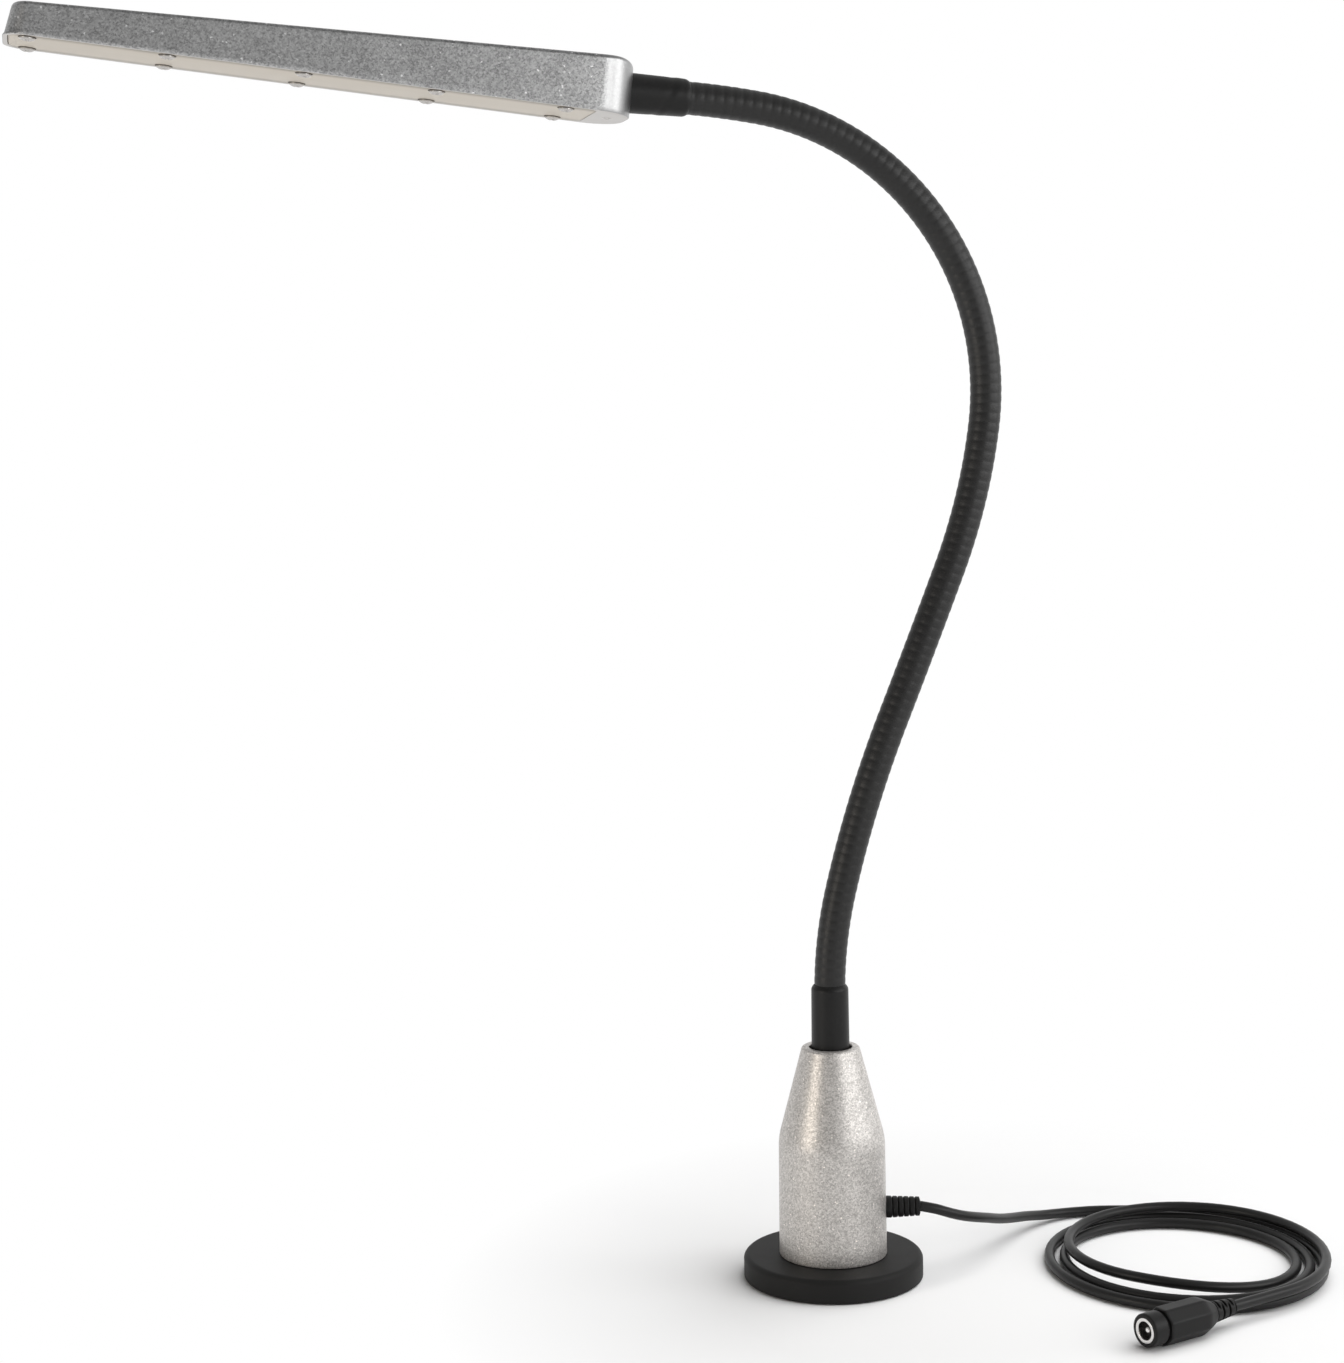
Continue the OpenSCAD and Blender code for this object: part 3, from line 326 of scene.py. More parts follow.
# %% Black finishes
def soft_black(name, level, gloss, grain, depth, warm=0.02, shine=0.3):
    """Mottled black: slow clouds and a fine grain shift its colour and its roughness, and the grain is embossed."""
    finish = Finish(name)
    fine, slow = finish.noise(grain, 4, 0.6), finish.noise(14.0, 2)
    tone = finish.spread(fine * 0.5 + slow * 0.5, 0.3, 0.7)
    colour = finish.mix(tone, grey(level * 0.72, warm), grey(level * 1.3, warm))
    rough = gloss + 0.16 * (fine - 0.5) + 0.12 * (slow - 0.5)
    return finish.shade(fine, depth, 0.35, Base_Color=colour, Roughness=rough, Specular_IOR_Level=shine)


cord_vinyl = soft_black("satin vinyl of the cord", level=0.009, gloss=0.40, grain=0.5, depth=0.02)
moulded_black = soft_black("moulded black plastic", level=0.008, gloss=0.45, grain=0.35, depth=0.03, shine=0.22)
neck_skin = soft_black("skin of the neck", level=0.012, gloss=0.42, grain=0.5, depth=0.02, shine=0.36)
shrunk_sleeve = soft_black("shrunk sleeve", level=0.009, gloss=0.42, grain=1.2, depth=0.02, shine=0.24)
foot_rubber = soft_black(
    "rubber of the magnet", level=0.009, gloss=0.58, grain=0.45, depth=0.05, warm=0.03, shine=0.23
)
print("black finishes:", len(bpy.data.materials))

# %% Cord
cord = make(
    "low_voltage_cord",
    [skin(hose(cord_path, CORD_D / 2), "filled")],
    cord_vinyl,
    "base",
    ["cord_lead", "cord_coil", "cord_tail"],
)

# %% [markdown]
# ## Inline socket
# The cord ends in a moulded socket: a slotted relief, an eight-sided grip, a groove, a round nose, and a nickel
# liner with a pin inside it. All of them are profiles turned about one line, so a helper turns a profile and sets
# it on any axis. The grip is the same with a radius that also depends on the angle.


# %% Turned shapes
def arc(centre, radius, start, end, count):
    """Points on a circle, from one angle to another in degrees: centre plus radius times cosine and sine."""
    angle = np.radians(np.linspace(start, end, count))
    return np.column_stack([centre[0] + radius * np.cos(angle), centre[1] + radius * np.sin(angle)])


def filled_in(profile, step):
    """The same outline with points at most a step apart, so that shading stays even along flat stretches."""
    reach = np.concatenate([[0], np.cumsum(np.linalg.norm(np.diff(profile, axis=0), axis=1))])
    spots = np.union1d(np.round(reach, 6), np.linspace(0, reach[-1], int(reach[-1] / step) + 2))
    return np.column_stack([np.interp(spots, reach, profile[:, 0]), np.interp(spots, reach, profile[:, 1])])


def turned(profile, origin, axis, sides, shape=None):
    """Surface of revolution: radius times cosine and sine of the angle, square to an axis, and the height along it.
    A shape multiplies the radius by a factor for each height and angle."""
    axis = unit(np.asarray(axis, float))
    side = unit(np.cross([0, 0, 1], axis)) if abs(axis[2]) < 0.9 else np.array([1.0, 0, 0])
    other = np.cross(axis, side)
    angle = np.linspace(0, 2 * np.pi, sides, endpoint=False)[None]
    radius, height = profile[:, :1] + 0 * angle, profile[:, 1:] + 0 * angle
    if shape is not None:
        radius = radius * shape(height, angle)
    spread = (radius * np.cos(angle))[..., None] * side + (radius * np.sin(angle))[..., None] * other
    return np.asarray(origin, float) + spread + height[..., None] * axis


# %% Socket relief
def slots(height, angle):
    """Factor below 1 in the slots of the relief: six slots along it, cut in turn from two sides and from the other
    two, so that a web is left between them."""
    place = np.clip(height, 0.4, 9.4) / 1.6
    across = np.cos(2 * angle + np.pi * np.floor(place))
    into = np.clip((np.abs(place % 1 - 0.5) - 0.2) / 0.12, 0, 1)
    return 1 - 0.22 * (1 - into) * np.clip(0.75 + 1.2 * across, 0, 1)


RELIEF_L, SOCKET_L = 10, 41
relief_height = np.linspace(0, RELIEF_L, 101)
relief_side = np.column_stack([2.85 + 0.095 * relief_height, relief_height])
relief_side[:2, 0] = [2.55, 2.75]
relief_profile = np.concatenate([[[0, 0], [CORD_D / 2, 0]], relief_side, [[0, RELIEF_L]]])
heading = unit(tail_end - coil[-1])
relief = make(
    "socket_cord_relief",
    [skin(turned(relief_profile, tail_end, heading, 72, slots))],
    moulded_black,
    "base",
    ["socket_relief"],
)


# %% Socket grip
def eight_sided(height, angle):
    """Radius of an eight-sided bar over its inner circle, 1 / cos of the angle to the nearest flat, with the corners
    rounded off; round where the grip starts, at its relief."""
    to_flat = (angle + np.pi / 8) % (np.pi / 4) - np.pi / 8
    sharp = np.minimum(1 / np.cos(to_flat), 1.062)
    share = np.clip((height - RELIEF_L) / 3, 0, 1)
    return 1 + (sharp - 1) * share


grip_profile = np.array([
    [0, 10], [3.3, 10], [3.75, 10.25], [4.3, 11.2], [5.7, 14.6], [6.0, 15.4], [6.15, 16.2], [6.2, 17], [6.2, 33.2],
    [6.1, 33.7], [5.8, 34], [4.45, 34], [4.45, 31], [0, 31],
])
grip = make(
    "socket_grip",
    [skin(turned(filled_in(grip_profile, 1.0), tail_end, heading, 160, eight_sided))],
    moulded_black,
    "base",
    ["socket_body"],
    crease=25,
)

# %% [markdown]
# The nose is a ring with a groove behind it. The liner is bright nickel, worn smooth by plugs, and the pin has a
# rounded end. Nickel is a metal: its colour is in the reflection, so Metallic is 1 and the colour is set high.


# %% Socket nose, liner and pin
def bright_metal(name, level, warm, gloss, grain=0.6, stretch=(1, 1, 1)):
    """Smooth plated or turned metal, with faint streaks in its gloss and a slightly dull film."""
    finish = Finish(name)
    streak, film = finish.noise(grain, 3, 0.6, stretch), finish.noise(6.0, 2)
    colour = finish.mix(film, grey(level * 0.86, warm), grey(level, warm))
    rough = gloss + 0.18 * (streak - 0.5) + 0.1 * (film - 0.5)
    return finish.shade(streak, 0.01, 0.2, Base_Color=colour, Roughness=rough, Metallic=1.0)


nickel = bright_metal("bright nickel", level=0.78, warm=0.02, gloss=0.2)
nose_profile = np.concatenate([
    [[4.45, 34], [5.2, 34], [5.2, 34.9], [5.4, 35]], arc((5.5, 35.3), 0.3, -90, 0, 4),
    arc((5.1, 40.3), 0.7, 0, 90, 7), [[4.45, SOCKET_L]],
])
nose = make(
    "socket_nose",
    [skin(turned(filled_in(nose_profile, 0.8), tail_end, heading, 96), "joined")],
    moulded_black,
    "base",
    ["socket_collar"],
)
liner_profile = np.concatenate(
    [[[3.15, 31], [4.35, 31]], arc((4.2, 40.85), 0.15, 0, 90, 4), arc((3.4, 40.75), 0.25, 90, 180, 5)]
)
liner = make(
    "socket_liner",
    [skin(turned(filled_in(liner_profile, 0.8), tail_end, heading, 96), "joined")],
    nickel,
    "base",
    ["socket_barrel"],
)
pin_profile = np.concatenate([[[0, 33], [1.05, 33]], arc((0.35, 39.3), 0.7, 0, 90, 7), [[0, 40]]])
pin = make(
    "socket_contact_pin",
    [skin(turned(filled_in(pin_profile, 0.7), tail_end, heading, 40))],
    nickel,
    "base",
    ["socket_pin"],
)

# %% [markdown]
# The socket's face lies at the end of the cord:

print("socket face at", np.round(tail_end + SOCKET_L * heading, 2))

# %% [markdown]
# ## Floor and light
# The lamp stands on a white sweep. The floor's own colour is pale; a little way off, what the camera and the
# reflections see of it turns to white with Light Path, so the lamp gets no extra light and keeps its soft shadow.
# Three soft boxes give the silver its bands of light, a fourth above draws the shadow, and a pale surround, darker
# behind the camera and overhead, fills in the rest.

# %% Floor
FLOOR_HALF, FLOOR_DROP = 4.0, 0.0003
SHADOW_CENTRE = (0.07, -0.03, 0.0)
SHADOW_REACH = (0.115, 0.22)

floor = bpy.data.objects.new("floor", bpy.data.meshes.new("floor"))
floor_grid = FLOOR_HALF * np.array([[-1, -1, 0], [1, -1, 0], [1, 1, 0], [-1, 1, 0]]) - [0, 0, FLOOR_DROP]
floor.data.from_pydata(floor_grid.tolist(), [], [[0, 1, 2, 3]])
bpy.context.scene.collection.objects.link(floor)


def rays(graph):
    """Two values: 1 for rays from the camera, and 1 for rays from a mirror or through glass."""
    kinds = ["Is Camera Ray", "Is Glossy Ray", "Is Transmission Ray"]
    camera_ray, glossy, through_glass = (graph.node("ShaderNodeLightPath", output=kind) for kind in kinds)
    return camera_ray, (glossy + through_glass) > 0.5


sweep = Finish("white sweep")
by_camera, by_mirror = rays(sweep)
matt = sweep.node("ShaderNodeBsdfDiffuse", sockets={"Color": grey(0.8)})
white = sweep.node("ShaderNodeEmission", sockets={"Strength": 1.0})
two_points = {0: sweep.point, 1: SHADOW_CENTRE}
distance = sweep.node("ShaderNodeVectorMath", {"operation": "DISTANCE"}, two_points, "Value")
away = sweep.spread(distance, *SHADOW_REACH) * (by_camera + by_mirror)
whole = sweep.node("ShaderNodeMixShader", sockets={0: away, 1: matt, 2: white})
sweep.node("ShaderNodeOutputMaterial", sockets={"Surface": whole})
floor.data.materials.append(sweep.owner)
print("floor material:", sweep.owner.name)

# %% Light
world = bpy.data.worlds.new("surround")
bpy.context.scene.world = world
air = Graph(world)
by_camera, by_mirror = rays(air)
direction = air.node("ShaderNodeTexCoord", output="Generated")
towards = [air.node("ShaderNodeSeparateXYZ", sockets={"Vector": direction}, output=axis) for axis in "XYZ"]
room = air.node("ShaderNodeMapRange", sockets={"Value": towards[1], "From Min": -0.4, "From Max": 0.5})
above = air.node("ShaderNodeMapRange", sockets={"Value": towards[2], "From Min": 0.15, "From Max": 0.7})
mirrored = (0.5 + 0.5 * room) * (1 + 0.3 * towards[0]) * (1 - 0.45 * above)
strength = by_camera + (1 - by_camera) * (by_mirror * mirrored + (1 - by_mirror) * 0.2)
surround = air.node("ShaderNodeBackground", sockets={"Color": grey(1.0), "Strength": strength})
air.node("ShaderNodeOutputWorld", sockets={"Surface": surround})


def soft_box(name, place, aim, size, power, tint=(1.0, 1.0, 1.0)):
    """A square lamp of a size in metres that looks from its place at a point."""
    data = bpy.data.lights.new(name, "AREA")
    data.shape, data.size, data.energy, data.color = "SQUARE", size, power, tint
    box = bpy.data.objects.new(name, data)
    box.location = place
    box.rotation_mode = "QUATERNION"
    box.rotation_quaternion = (Vector(aim) - Vector(place)).to_track_quat("-Z", "Y")
    bpy.context.scene.collection.objects.link(box)
    return box


WARM_LIGHT = (1.0, 0.92, 0.82)
soft_box("soft_box_right", (1.0, -0.5, 0.55), aim=(-0.05, 0.0, 0.25), size=0.6, power=3.5)
soft_box("soft_box_left", (-0.95, -0.35, 0.24), aim=(0.0, 0.0, 0.1), size=0.4, power=2.0, tint=WARM_LIGHT)
soft_box("soft_box_front", (0.6, -1.05, 0.55), aim=(-0.1, 0.0, 0.3), size=0.5, power=2.9)
top_box = soft_box("soft_box_top", (0.62, 0.08, 1.2), aim=(0.0, 0.0, 0.0), size=1.5, power=21.5)
top_box.visible_glossy = False
print("lamps:", len(bpy.data.lights))

# %% [markdown]
# ## Magnet foot
# A pot magnet is cast in black rubber, so that it holds without scratching. The rubber is drawn over the steel in
# one round skin with a soft upper edge. It is a profile turned about the lamp's own axis, from the centre of the
# underside out and back to the centre of the top.

# %% Magnet foot
foot_profile = np.concatenate([
    [[0, 0], [32.0, 0]], arc((32.4, 0.6), 0.6, -90, 0, 6), arc((31.0, 6.5), 2.0, 0, 90, 12),
    [[21.4, 8.5], [20.6, 8.44], [20.2, 8.4], [19.5, 8.4], [0, 8.4]],
])
UPRIGHT = (0, 0, 1)
make(
    "magnet_rubber_foot",
    [skin(turned(filled_in(foot_profile, 1.6), (0, 0, 0), UPRIGHT, 128))],
    foot_rubber,
    "base",
    ["magnet_rubber_coat"],
)

# %% [markdown]
# ## Cast silver
# The base is a casting under a silver coat, and the head is aluminium, blasted so that it has a sparkling grain.
# Each grain tilts its own way, so some flash and some stay dark. A pattern of random cells gives every grain its
# own brightness and roughness, and a finer noise breaks up the cells. A few cells are painted glints: their colour
# is set far brighter, as if they caught the light.


# %% Cast silver
def blasted_silver(name, level, warm, gloss, grain, contrast, metal, relief, rubbed=None):
    """Metal of small flakes: a random shade for each flake, more gloss on the bright ones, a few painted glints,
    flakes whose colour is set far brighter as if they caught the light, and an embossed grain. Where it is rubbed,
    a direction with two lengths along it, the grain fades from one length to the other."""
    finish = Finish(name)
    flake, small = finish.flakes(grain), finish.flakes(grain * 0.55)
    fine, slow = finish.noise(grain * 0.8, 4, 0.65), finish.noise(11.0, 2)
    tone = 0.42 * flake + 0.3 * small + 0.28 * fine
    colour = finish.mix(
        finish.spread(tone + 0.16 * (slow - 0.5), 0.18, 0.82),
        grey(level * (1 - contrast), warm),
        grey(level * (1 + contrast), warm * 0.7),
    )
    # Painted glints: a few flakes get a colour far brighter than the rest, as if they caught the light.
    colour = finish.mix(finish.spread(flake, 0.992, 0.996), colour, grey(min(2.2 * level, 0.9), warm))
    glint = finish.spread(flake, 0.86, 0.96)
    rough = gloss + 0.04 * (0.5 - tone) - 0.02 * glint + 0.08 * (slow - 0.5)
    height = 0.6 * flake + 0.4 * fine
    if rubbed:
        direction, full, gone = rubbed
        sockets = {0: finish.point, 1: direction}
        along = finish.node("ShaderNodeVectorMath", {"operation": "DOT_PRODUCT"}, sockets, "Value")
        worn = 0.85 * finish.spread(along, full * MM, gone * MM)
        colour, height = finish.mix(worn, colour, grey(level, warm)), height * (1 - worn)
    return finish.shade(height, 0.04, relief, Base_Color=colour, Roughness=rough, Metallic=metal)


base_silver = blasted_silver(
    "cast silver of the base", level=0.535, warm=0.055, gloss=0.42, grain=0.5, contrast=0.4, metal=0.7, relief=0.15
)
print("silver finish:", base_silver.name)

# %% [markdown]
# ## Base body
# The body is a turned casting: a round lower part with a little draft, a soft shoulder, a cone, and a rounded lip
# round the well that the neck drops into. The shoulder is an arc between the two slopes, because a sharp edge
# would catch the light as a line, and the real one does not.


# %% Base body
def softened(corner, before, after, reach, count=9):
    """Round a corner of an outline: a quadratic curve from a point on one arm to a point on the other."""
    corner, before, after = (np.array(p, float) for p in (corner, before, after))
    start, end = corner + reach * unit(before - corner), corner + reach * unit(after - corner)
    t = np.linspace(0, 1, count)[:, None]
    return (1 - t) ** 2 * start + 2 * t * (1 - t) * corner + t**2 * end


FOOT_OF_BODY, SHOULDER, LIP = (19.8, 8.5), (19.5, 52), (10.8, 86)
lip_slope = math.degrees(math.atan2(SHOULDER[0] - LIP[0], LIP[1] - SHOULDER[1]))
body_profile = np.concatenate([
    [[0, 8.5], [19.4, 8.5]], arc((19.4, 8.9), 0.4, -90, 0, 5), softened(SHOULDER, FOOT_OF_BODY, LIP, 3.2),
    arc((9.6, 84.8), 1.2, lip_slope, 90, 9), arc((8.35, 85.5), 0.5, 90, 180, 6), [[7.85, 62], [0, 62]],
])
make(
    "cast_base_body",
    [skin(turned(filled_in(body_profile, 1.5), (0, 0, 0), UPRIGHT, 144))],
    base_silver,
    "base",
    ["base_body"],
)

# %% [markdown]
# ## Cord gland
# A ribbed rubber gland keeps the cord from kinking where it leaves the base. Its ribs are flat with narrow
# grooves, and they get smaller towards the cord. The outline is a taper, less the depth of a groove wherever a rib
# ends, and its inside is the bore that the cord passes through.


# %% Cord gland
def ribbed(length, first, last, ribs, depth, per_rib=14):
    """Outline of a ribbed taper: the radius falls evenly from first to last, and in the outer quarters of each rib it
    drops along a quarter circle by the depth of the groove."""
    along = np.linspace(0, 1, ribs * per_rib + 1)
    place = along * ribs % 1
    to_edge = np.clip((0.5 - np.abs(place - 0.5)) / 0.26, 0, 1)
    crest = np.sqrt(1 - (1 - to_edge) ** 2)
    return np.column_stack([first + (last - first) * along - depth * (1 - crest), along * length])


RIBS_FROM = 19.8
gland_ribs = ribbed(length=12.5, first=4.05, last=3.45, ribs=6, depth=0.75) + [0, RIBS_FROM]
gland_ribs[-3:, 0] = [3.1, 2.7, 2.2]
gland_profile = np.concatenate(
    [[[2.0, 9.5], [5.5, 9.5], [5.5, 11.5], [4.05, 11.5], [4.05, 18.6]], gland_ribs[2:], [[2.0, GLAND_END]]]
)
make(
    "ribbed_cord_gland",
    [skin(turned(filled_in(gland_profile, 0.6), (0, 0, GLAND_HEIGHT), gland_axis, 64), "joined")],
    moulded_black,
    "base",
    ["cord_gland"],
)

# %% [markdown]
# ## Neck line
# The neck is a steel coil in a ribbed skin, and it stays where it is bent. Its line is a row of arcs, each with a
# length and a turn. The chord of an arc has the length of the arc times sin(h) / h, where h is half the turn, and
# lies half the turn ahead, which gives any point of the line at once, also on a straight stretch.

# %% Neck line
STRETCHES = np.array([(40.5, 0), (38, -14), (66, -9), (58, 1), (53, 14), (156, 89), (26, 5), (20, 0)], float)
FERRULE_FOOT, NECK_L = 65.0, 457.5


def chords(length, start, turn):
    """Step from one end of an arc to the other: its chord, in the direction half a turn past the start."""
    reach = length * np.sinc(turn / 2 / np.pi)
    return np.stack([reach * np.cos(start + turn / 2), reach * np.sin(start + turn / 2)], axis=-1)


lengths, turns = STRETCHES[:, 0], np.radians(STRETCHES[:, 1])
reaches = np.cumsum(lengths)
headings = np.pi / 2 + np.concatenate([[0], np.cumsum(turns)[:-1]])
corners = np.cumsum(np.concatenate([[[0, FERRULE_FOOT]], chords(lengths, headings, turns)]), axis=0)


def neck_at(s):
    """Point and direction of the neck at length s from the ferrule."""
    s = np.atleast_1d(np.asarray(s, float))
    k = np.clip(np.searchsorted(reaches, s), 0, len(reaches) - 1)
    past = s - (reaches - lengths)[k]
    turn = turns[k] * past / lengths[k]
    flat = corners[k] + chords(past, headings[k], turn)
    return np.column_stack([flat[:, 0], 0 * past, flat[:, 1]]), headings[k] + turn


head_root, head_angle = (v[0] for v in neck_at(NECK_L))
print("neck ends at", np.round(head_root, 3), "heading", round(math.degrees(head_angle), 2))

# %% [markdown]
# ## Neck
# In the model the neck is nine links with eight hinges, because a simulator bends at hinges. The real neck bends
# along its whole length, so each piece here runs from the middle of one link to the middle of the next. The cuts
# fall on a rib's crest, where they don't show.


# %% Neck pieces
def along_neck(s, radius, sides):
    """Tube on the neck's line: at each length a ring of that radius, in the plane of Y and of the line's normal."""
    place, angle = neck_at(s)
    round_it = np.linspace(0, 2 * np.pi, sides, endpoint=False)[None, :, None]
    normal = np.column_stack([-np.sin(angle), 0 * angle, np.cos(angle)])
    ring = np.cos(round_it) * np.array([0, 1.0, 0]) + np.sin(round_it) * normal[:, None]
    return place[:, None] + np.reshape(radius, (-1, 1, 1)) * ring


RIB, NECK_R = 3.5, 5.7
SKIN_FROM, SKIN_TO = 12.3, 442.2
FIRST_HINGE, LINK, BLEND = 70, 48.5714, 22
hinges = FIRST_HINGE + LINK * np.arange(8)
cuts = SKIN_FROM + RIB * (np.round((hinges[:-1] + LINK / 2 - SKIN_FROM) / RIB) + 0.5)
cuts = np.concatenate([[SKIN_FROM], cuts, [SKIN_TO]])
chain = ["base"] + [f"neck_{k}" for k in range(2, 9)] + ["head"]


def neck_piece(name, k, start, end, step, outside, inside, sides, finish, solids):
    """One piece of the neck: an outer and an inner tube joined at both ends, or a solid one where inside is 0."""
    s = np.linspace(start, end, int((end - start) / step) + 2)
    outer = along_neck(s, outside(s), sides)
    if inside:
        parts = [skin(np.concatenate([outer, along_neck(s[::-4], inside, sides)]), "joined")]
    else:
        parts = [skin(outer, "filled")]
    piece = make(f"{name}_{k + 1}", parts, finish, None, solids)
    (low, high), _ = neck_at([hinges[k] - BLEND, hinges[k] + BLEND])
    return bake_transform(piece, chain[k], chain[k + 1], tuple(low * MM), tuple(high * MM))


def rib_radius(s):
    """Radius of the skin: broad crests, and a narrow round groove every rib."""
    ribs = (s - SKIN_FROM) / RIB
    to_groove = np.abs(ribs - np.round(ribs)) * RIB
    return NECK_R - 0.11 * np.exp(-((to_groove / 0.7) ** 2))


def solids_of(kind, k):
    """Names of the solids that a piece stands for: its own link's, and the last link's for the last piece."""
    return [f"{kind}_{k + 1}"] + ([f"{kind}_9"] if k == 7 else [])


for k in range(8):
    neck_piece(
        "neck_skin", k, cuts[k], cuts[k + 1], step=0.35, outside=rib_radius, inside=4.75, sides=40,
        finish=neck_skin, solids=solids_of("neck_sheath", k),
    )

# %% [markdown]
# Inside the skin runs the coil of steel wire that gives the neck its grip, and inside that the lead to the LEDs.
# Nobody sees them, but in a cut-open view they belong there.


# %% Coil and lead inside the neck
def wire_radius(s):
    """Radius of the wound core: round wire, 2 millimetres from turn to turn."""
    return 3.95 + 0.25 * np.sqrt(np.clip(1 - (2 * (s / 2 - np.round(s / 2))) ** 2, 0, 1))


def lead_radius(s):
    """Radius of the lead: the same at every length."""
    return 1.9 + 0 * s


coil_steel = bright_metal("wound spring steel", level=0.42, warm=0.0, gloss=0.35)
lead_grey = soft_black("grey lead", level=0.07, gloss=0.5, grain=0.6, depth=0.02)
core_cuts, lead_cuts = cuts.copy(), cuts.copy()
core_cuts[[0, -1]], lead_cuts[[0, -1]] = [0.0, 454.5], [-29.0, 480.5]
for k in range(8):
    neck_piece(
        "neck_spring", k, core_cuts[k], core_cuts[k + 1], step=0.5, outside=wire_radius, inside=2.5, sides=20,
        finish=coil_steel, solids=solids_of("neck_core", k),
    )
    neck_piece(
        "neck_lead", k, lead_cuts[k], lead_cuts[k + 1], step=4.0, outside=lead_radius, inside=0, sides=14,
        finish=lead_grey, solids=solids_of("neck_lead", k),
    )

# %% [markdown]
# ## Sleeves
# Both ends of the neck are covered by a sleeve that is shrunk on: smooth, a little fatter than the ribs, and drawn
# in to a rounded lip at its free end. The lower one stands in the well of the base, and the upper one meets the
# head.

# %% Sleeves
SLEEVE_BORE = 5.74


def sleeve_outline(start, first, last, length, lip):
    """Outline of a shrunk sleeve over its bore: a slight taper that ends in the lip, where it is drawn in to the bore
    along a power curve."""
    t = np.linspace(0, 1, 13)
    drawn_in = np.column_stack([last + (SLEEVE_BORE - last) * t**2.4, length - lip * (1 - t)])
    return np.concatenate([[[SLEEVE_BORE, start], [first, start]], drawn_in])


def crease_line(height, angle):
    """Factor for a low crease that the shrinking left: a ridge whose place along the sleeve drifts with the angle."""
    drift = height - 13.5 - 3.2 * np.sin(angle - 0.6)
    return 1 + 0.012 * np.exp(-((drift / 1.2) ** 2)) - 0.012 * np.exp(-(((drift + 2.4) / 1.2) ** 2))


lower_outline = filled_in(sleeve_outline(start=0, first=7.1, last=6.8, length=44.0, lip=2.2), 0.8)
make(
    "lower_neck_sleeve",
    [skin(turned(lower_outline, (0, 0, FERRULE_FOOT), UPRIGHT, 72), "joined")],
    shrunk_sleeve,
    "base",
    ["lower_sleeve"],
)
back = np.array([-math.cos(head_angle), 0, -math.sin(head_angle)])
upper_outline = filled_in(sleeve_outline(start=-1.4, first=6.9, last=6.5, length=20.5, lip=2.2), 0.5)
make(
    "upper_neck_sleeve",
    [skin(turned(upper_outline, head_root, back, 96, crease_line), "joined")],
    shrunk_sleeve,
    "head",
    ["upper_sleeve"],
)

# %% [markdown]
# ## Lamp head
# The head is a long wedge: high at the neck, low at the tip, with round corners seen from above and a soft upper
# edge. It is a stack of outlines. Each is the plan pulled in by some inset, and the profile says for each one how
# far it is pulled in and how high it lies. The underside has a step for the lens.

# %% Head frame
slope = math.radians(6.5085)
head_x = np.array([-math.cos(slope), 0, math.sin(slope)])
head_y = np.array([0, -1.0, 0])
head_z = np.array([math.sin(slope), 0, math.cos(slope)])
NECK_ABOVE_LENS = 9.7
head_origin = head_root - NECK_ABOVE_LENS * head_z
wedge = math.tan(math.radians(2.5085))


def on_head(points):
    """Points from the head's own frame (along the underside, sideways, up) to the lamp's frame."""
    return head_origin + points[..., :1] * head_x + points[..., 1:2] * head_y + points[..., 2:] * head_z


def plan(x0, x1, half, r0, r1, inset, per_corner=15, per_side=22):
    """Outlines of a rectangle with round corners, pulled in by each inset, or by one inset for each corner: four
    quarter circles that keep their centres while their radius shrinks, and straight lines between them."""
    inset = np.atleast_1d(np.asarray(inset, float))
    inset = inset.reshape(len(inset), -1, 1, 1)
    centre = np.array([[x1 - r1, half - r1], [x0 + r0, half - r0], [x0 + r0, r0 - half], [x1 - r1, r1 - half]])
    radius = np.array([r1, r0, r0, r1])[None, :, None, None] - inset
    angle = np.radians(90 * np.arange(4)[:, None] + np.linspace(0, 90, per_corner))
    bends = centre[None, :, None] + radius * np.stack([np.cos(angle), np.sin(angle)], axis=-1)
    t = np.linspace(0, 1, per_side + 2)[1:-1, None]
    start, end = bends[:, :, -1:], np.roll(bends, -1, axis=1)[:, :, :1]
    return np.concatenate([bends, start + t * (end - start)], axis=2).reshape(len(inset), -1, 2)


print("head frame at", np.round(head_origin, 3))

# %% [markdown]
# The walls and the roof are blasted, but the underside is milled flat for the lens, so it has fine streaks instead
# of grain, and its colour is set brighter than the walls as painted light from the white floor below it. The upper
# edge is rounder at the neck than at the tip, so each outline has its own inset for each corner. The roof drops a
# little to the neck, and the end face of the tip leans back. The round corners at the neck are smooth, rubbed by the
# hand that moves the head.

# %% Head walls
HEAD_FROM, HEAD_TO, HEAD_HALF = 0.8, 210, 16.5
ROOT_CORNER, TIP_CORNER = 13, 8
ROOT_EDGE, TIP_EDGE = 1.5, 1.2
ROOF_AT_ROOT, ROOT_DROP, DROP_OVER = 19.6, 1.8, 9
EDGE_CHANGES = [13, 205]
TIP_FROM = 203
RIM_STEP, RIM_STEP_H = 0.5, 0.75
LEAN, LEAN_H = 2.0, 10

to_top = np.radians(np.linspace(0, 90, 13))[:, None]
edges = np.array([[TIP_EDGE, ROOT_EDGE, ROOT_EDGE, TIP_EDGE]])
wall_inset = np.outer([0.35, 0.1] + [0] * 8, np.ones(4))
inset = np.concatenate([wall_inset, edges * (1 - np.cos(to_top)), edges + 0.8, edges + 2.2])
outline = plan(HEAD_FROM, HEAD_TO, HEAD_HALF, ROOT_CORNER, TIP_CORNER, inset)
along_head = outline[..., 0]
edge_r = np.interp(along_head, EDGE_CHANGES, [ROOT_EDGE, TIP_EDGE])
roof = ROOF_AT_ROOT - wedge * along_head - ROOT_DROP * np.clip(1 - along_head / DROP_OVER, 0, 1) ** 2
up_wall = np.concatenate([[0, 0.006, 0.02], np.linspace(0.1, 0.95, 7), np.ones(15)])[:, None]
round_off = np.concatenate([np.zeros(10), np.sin(to_top[:, 0]), [1, 1]])[:, None]
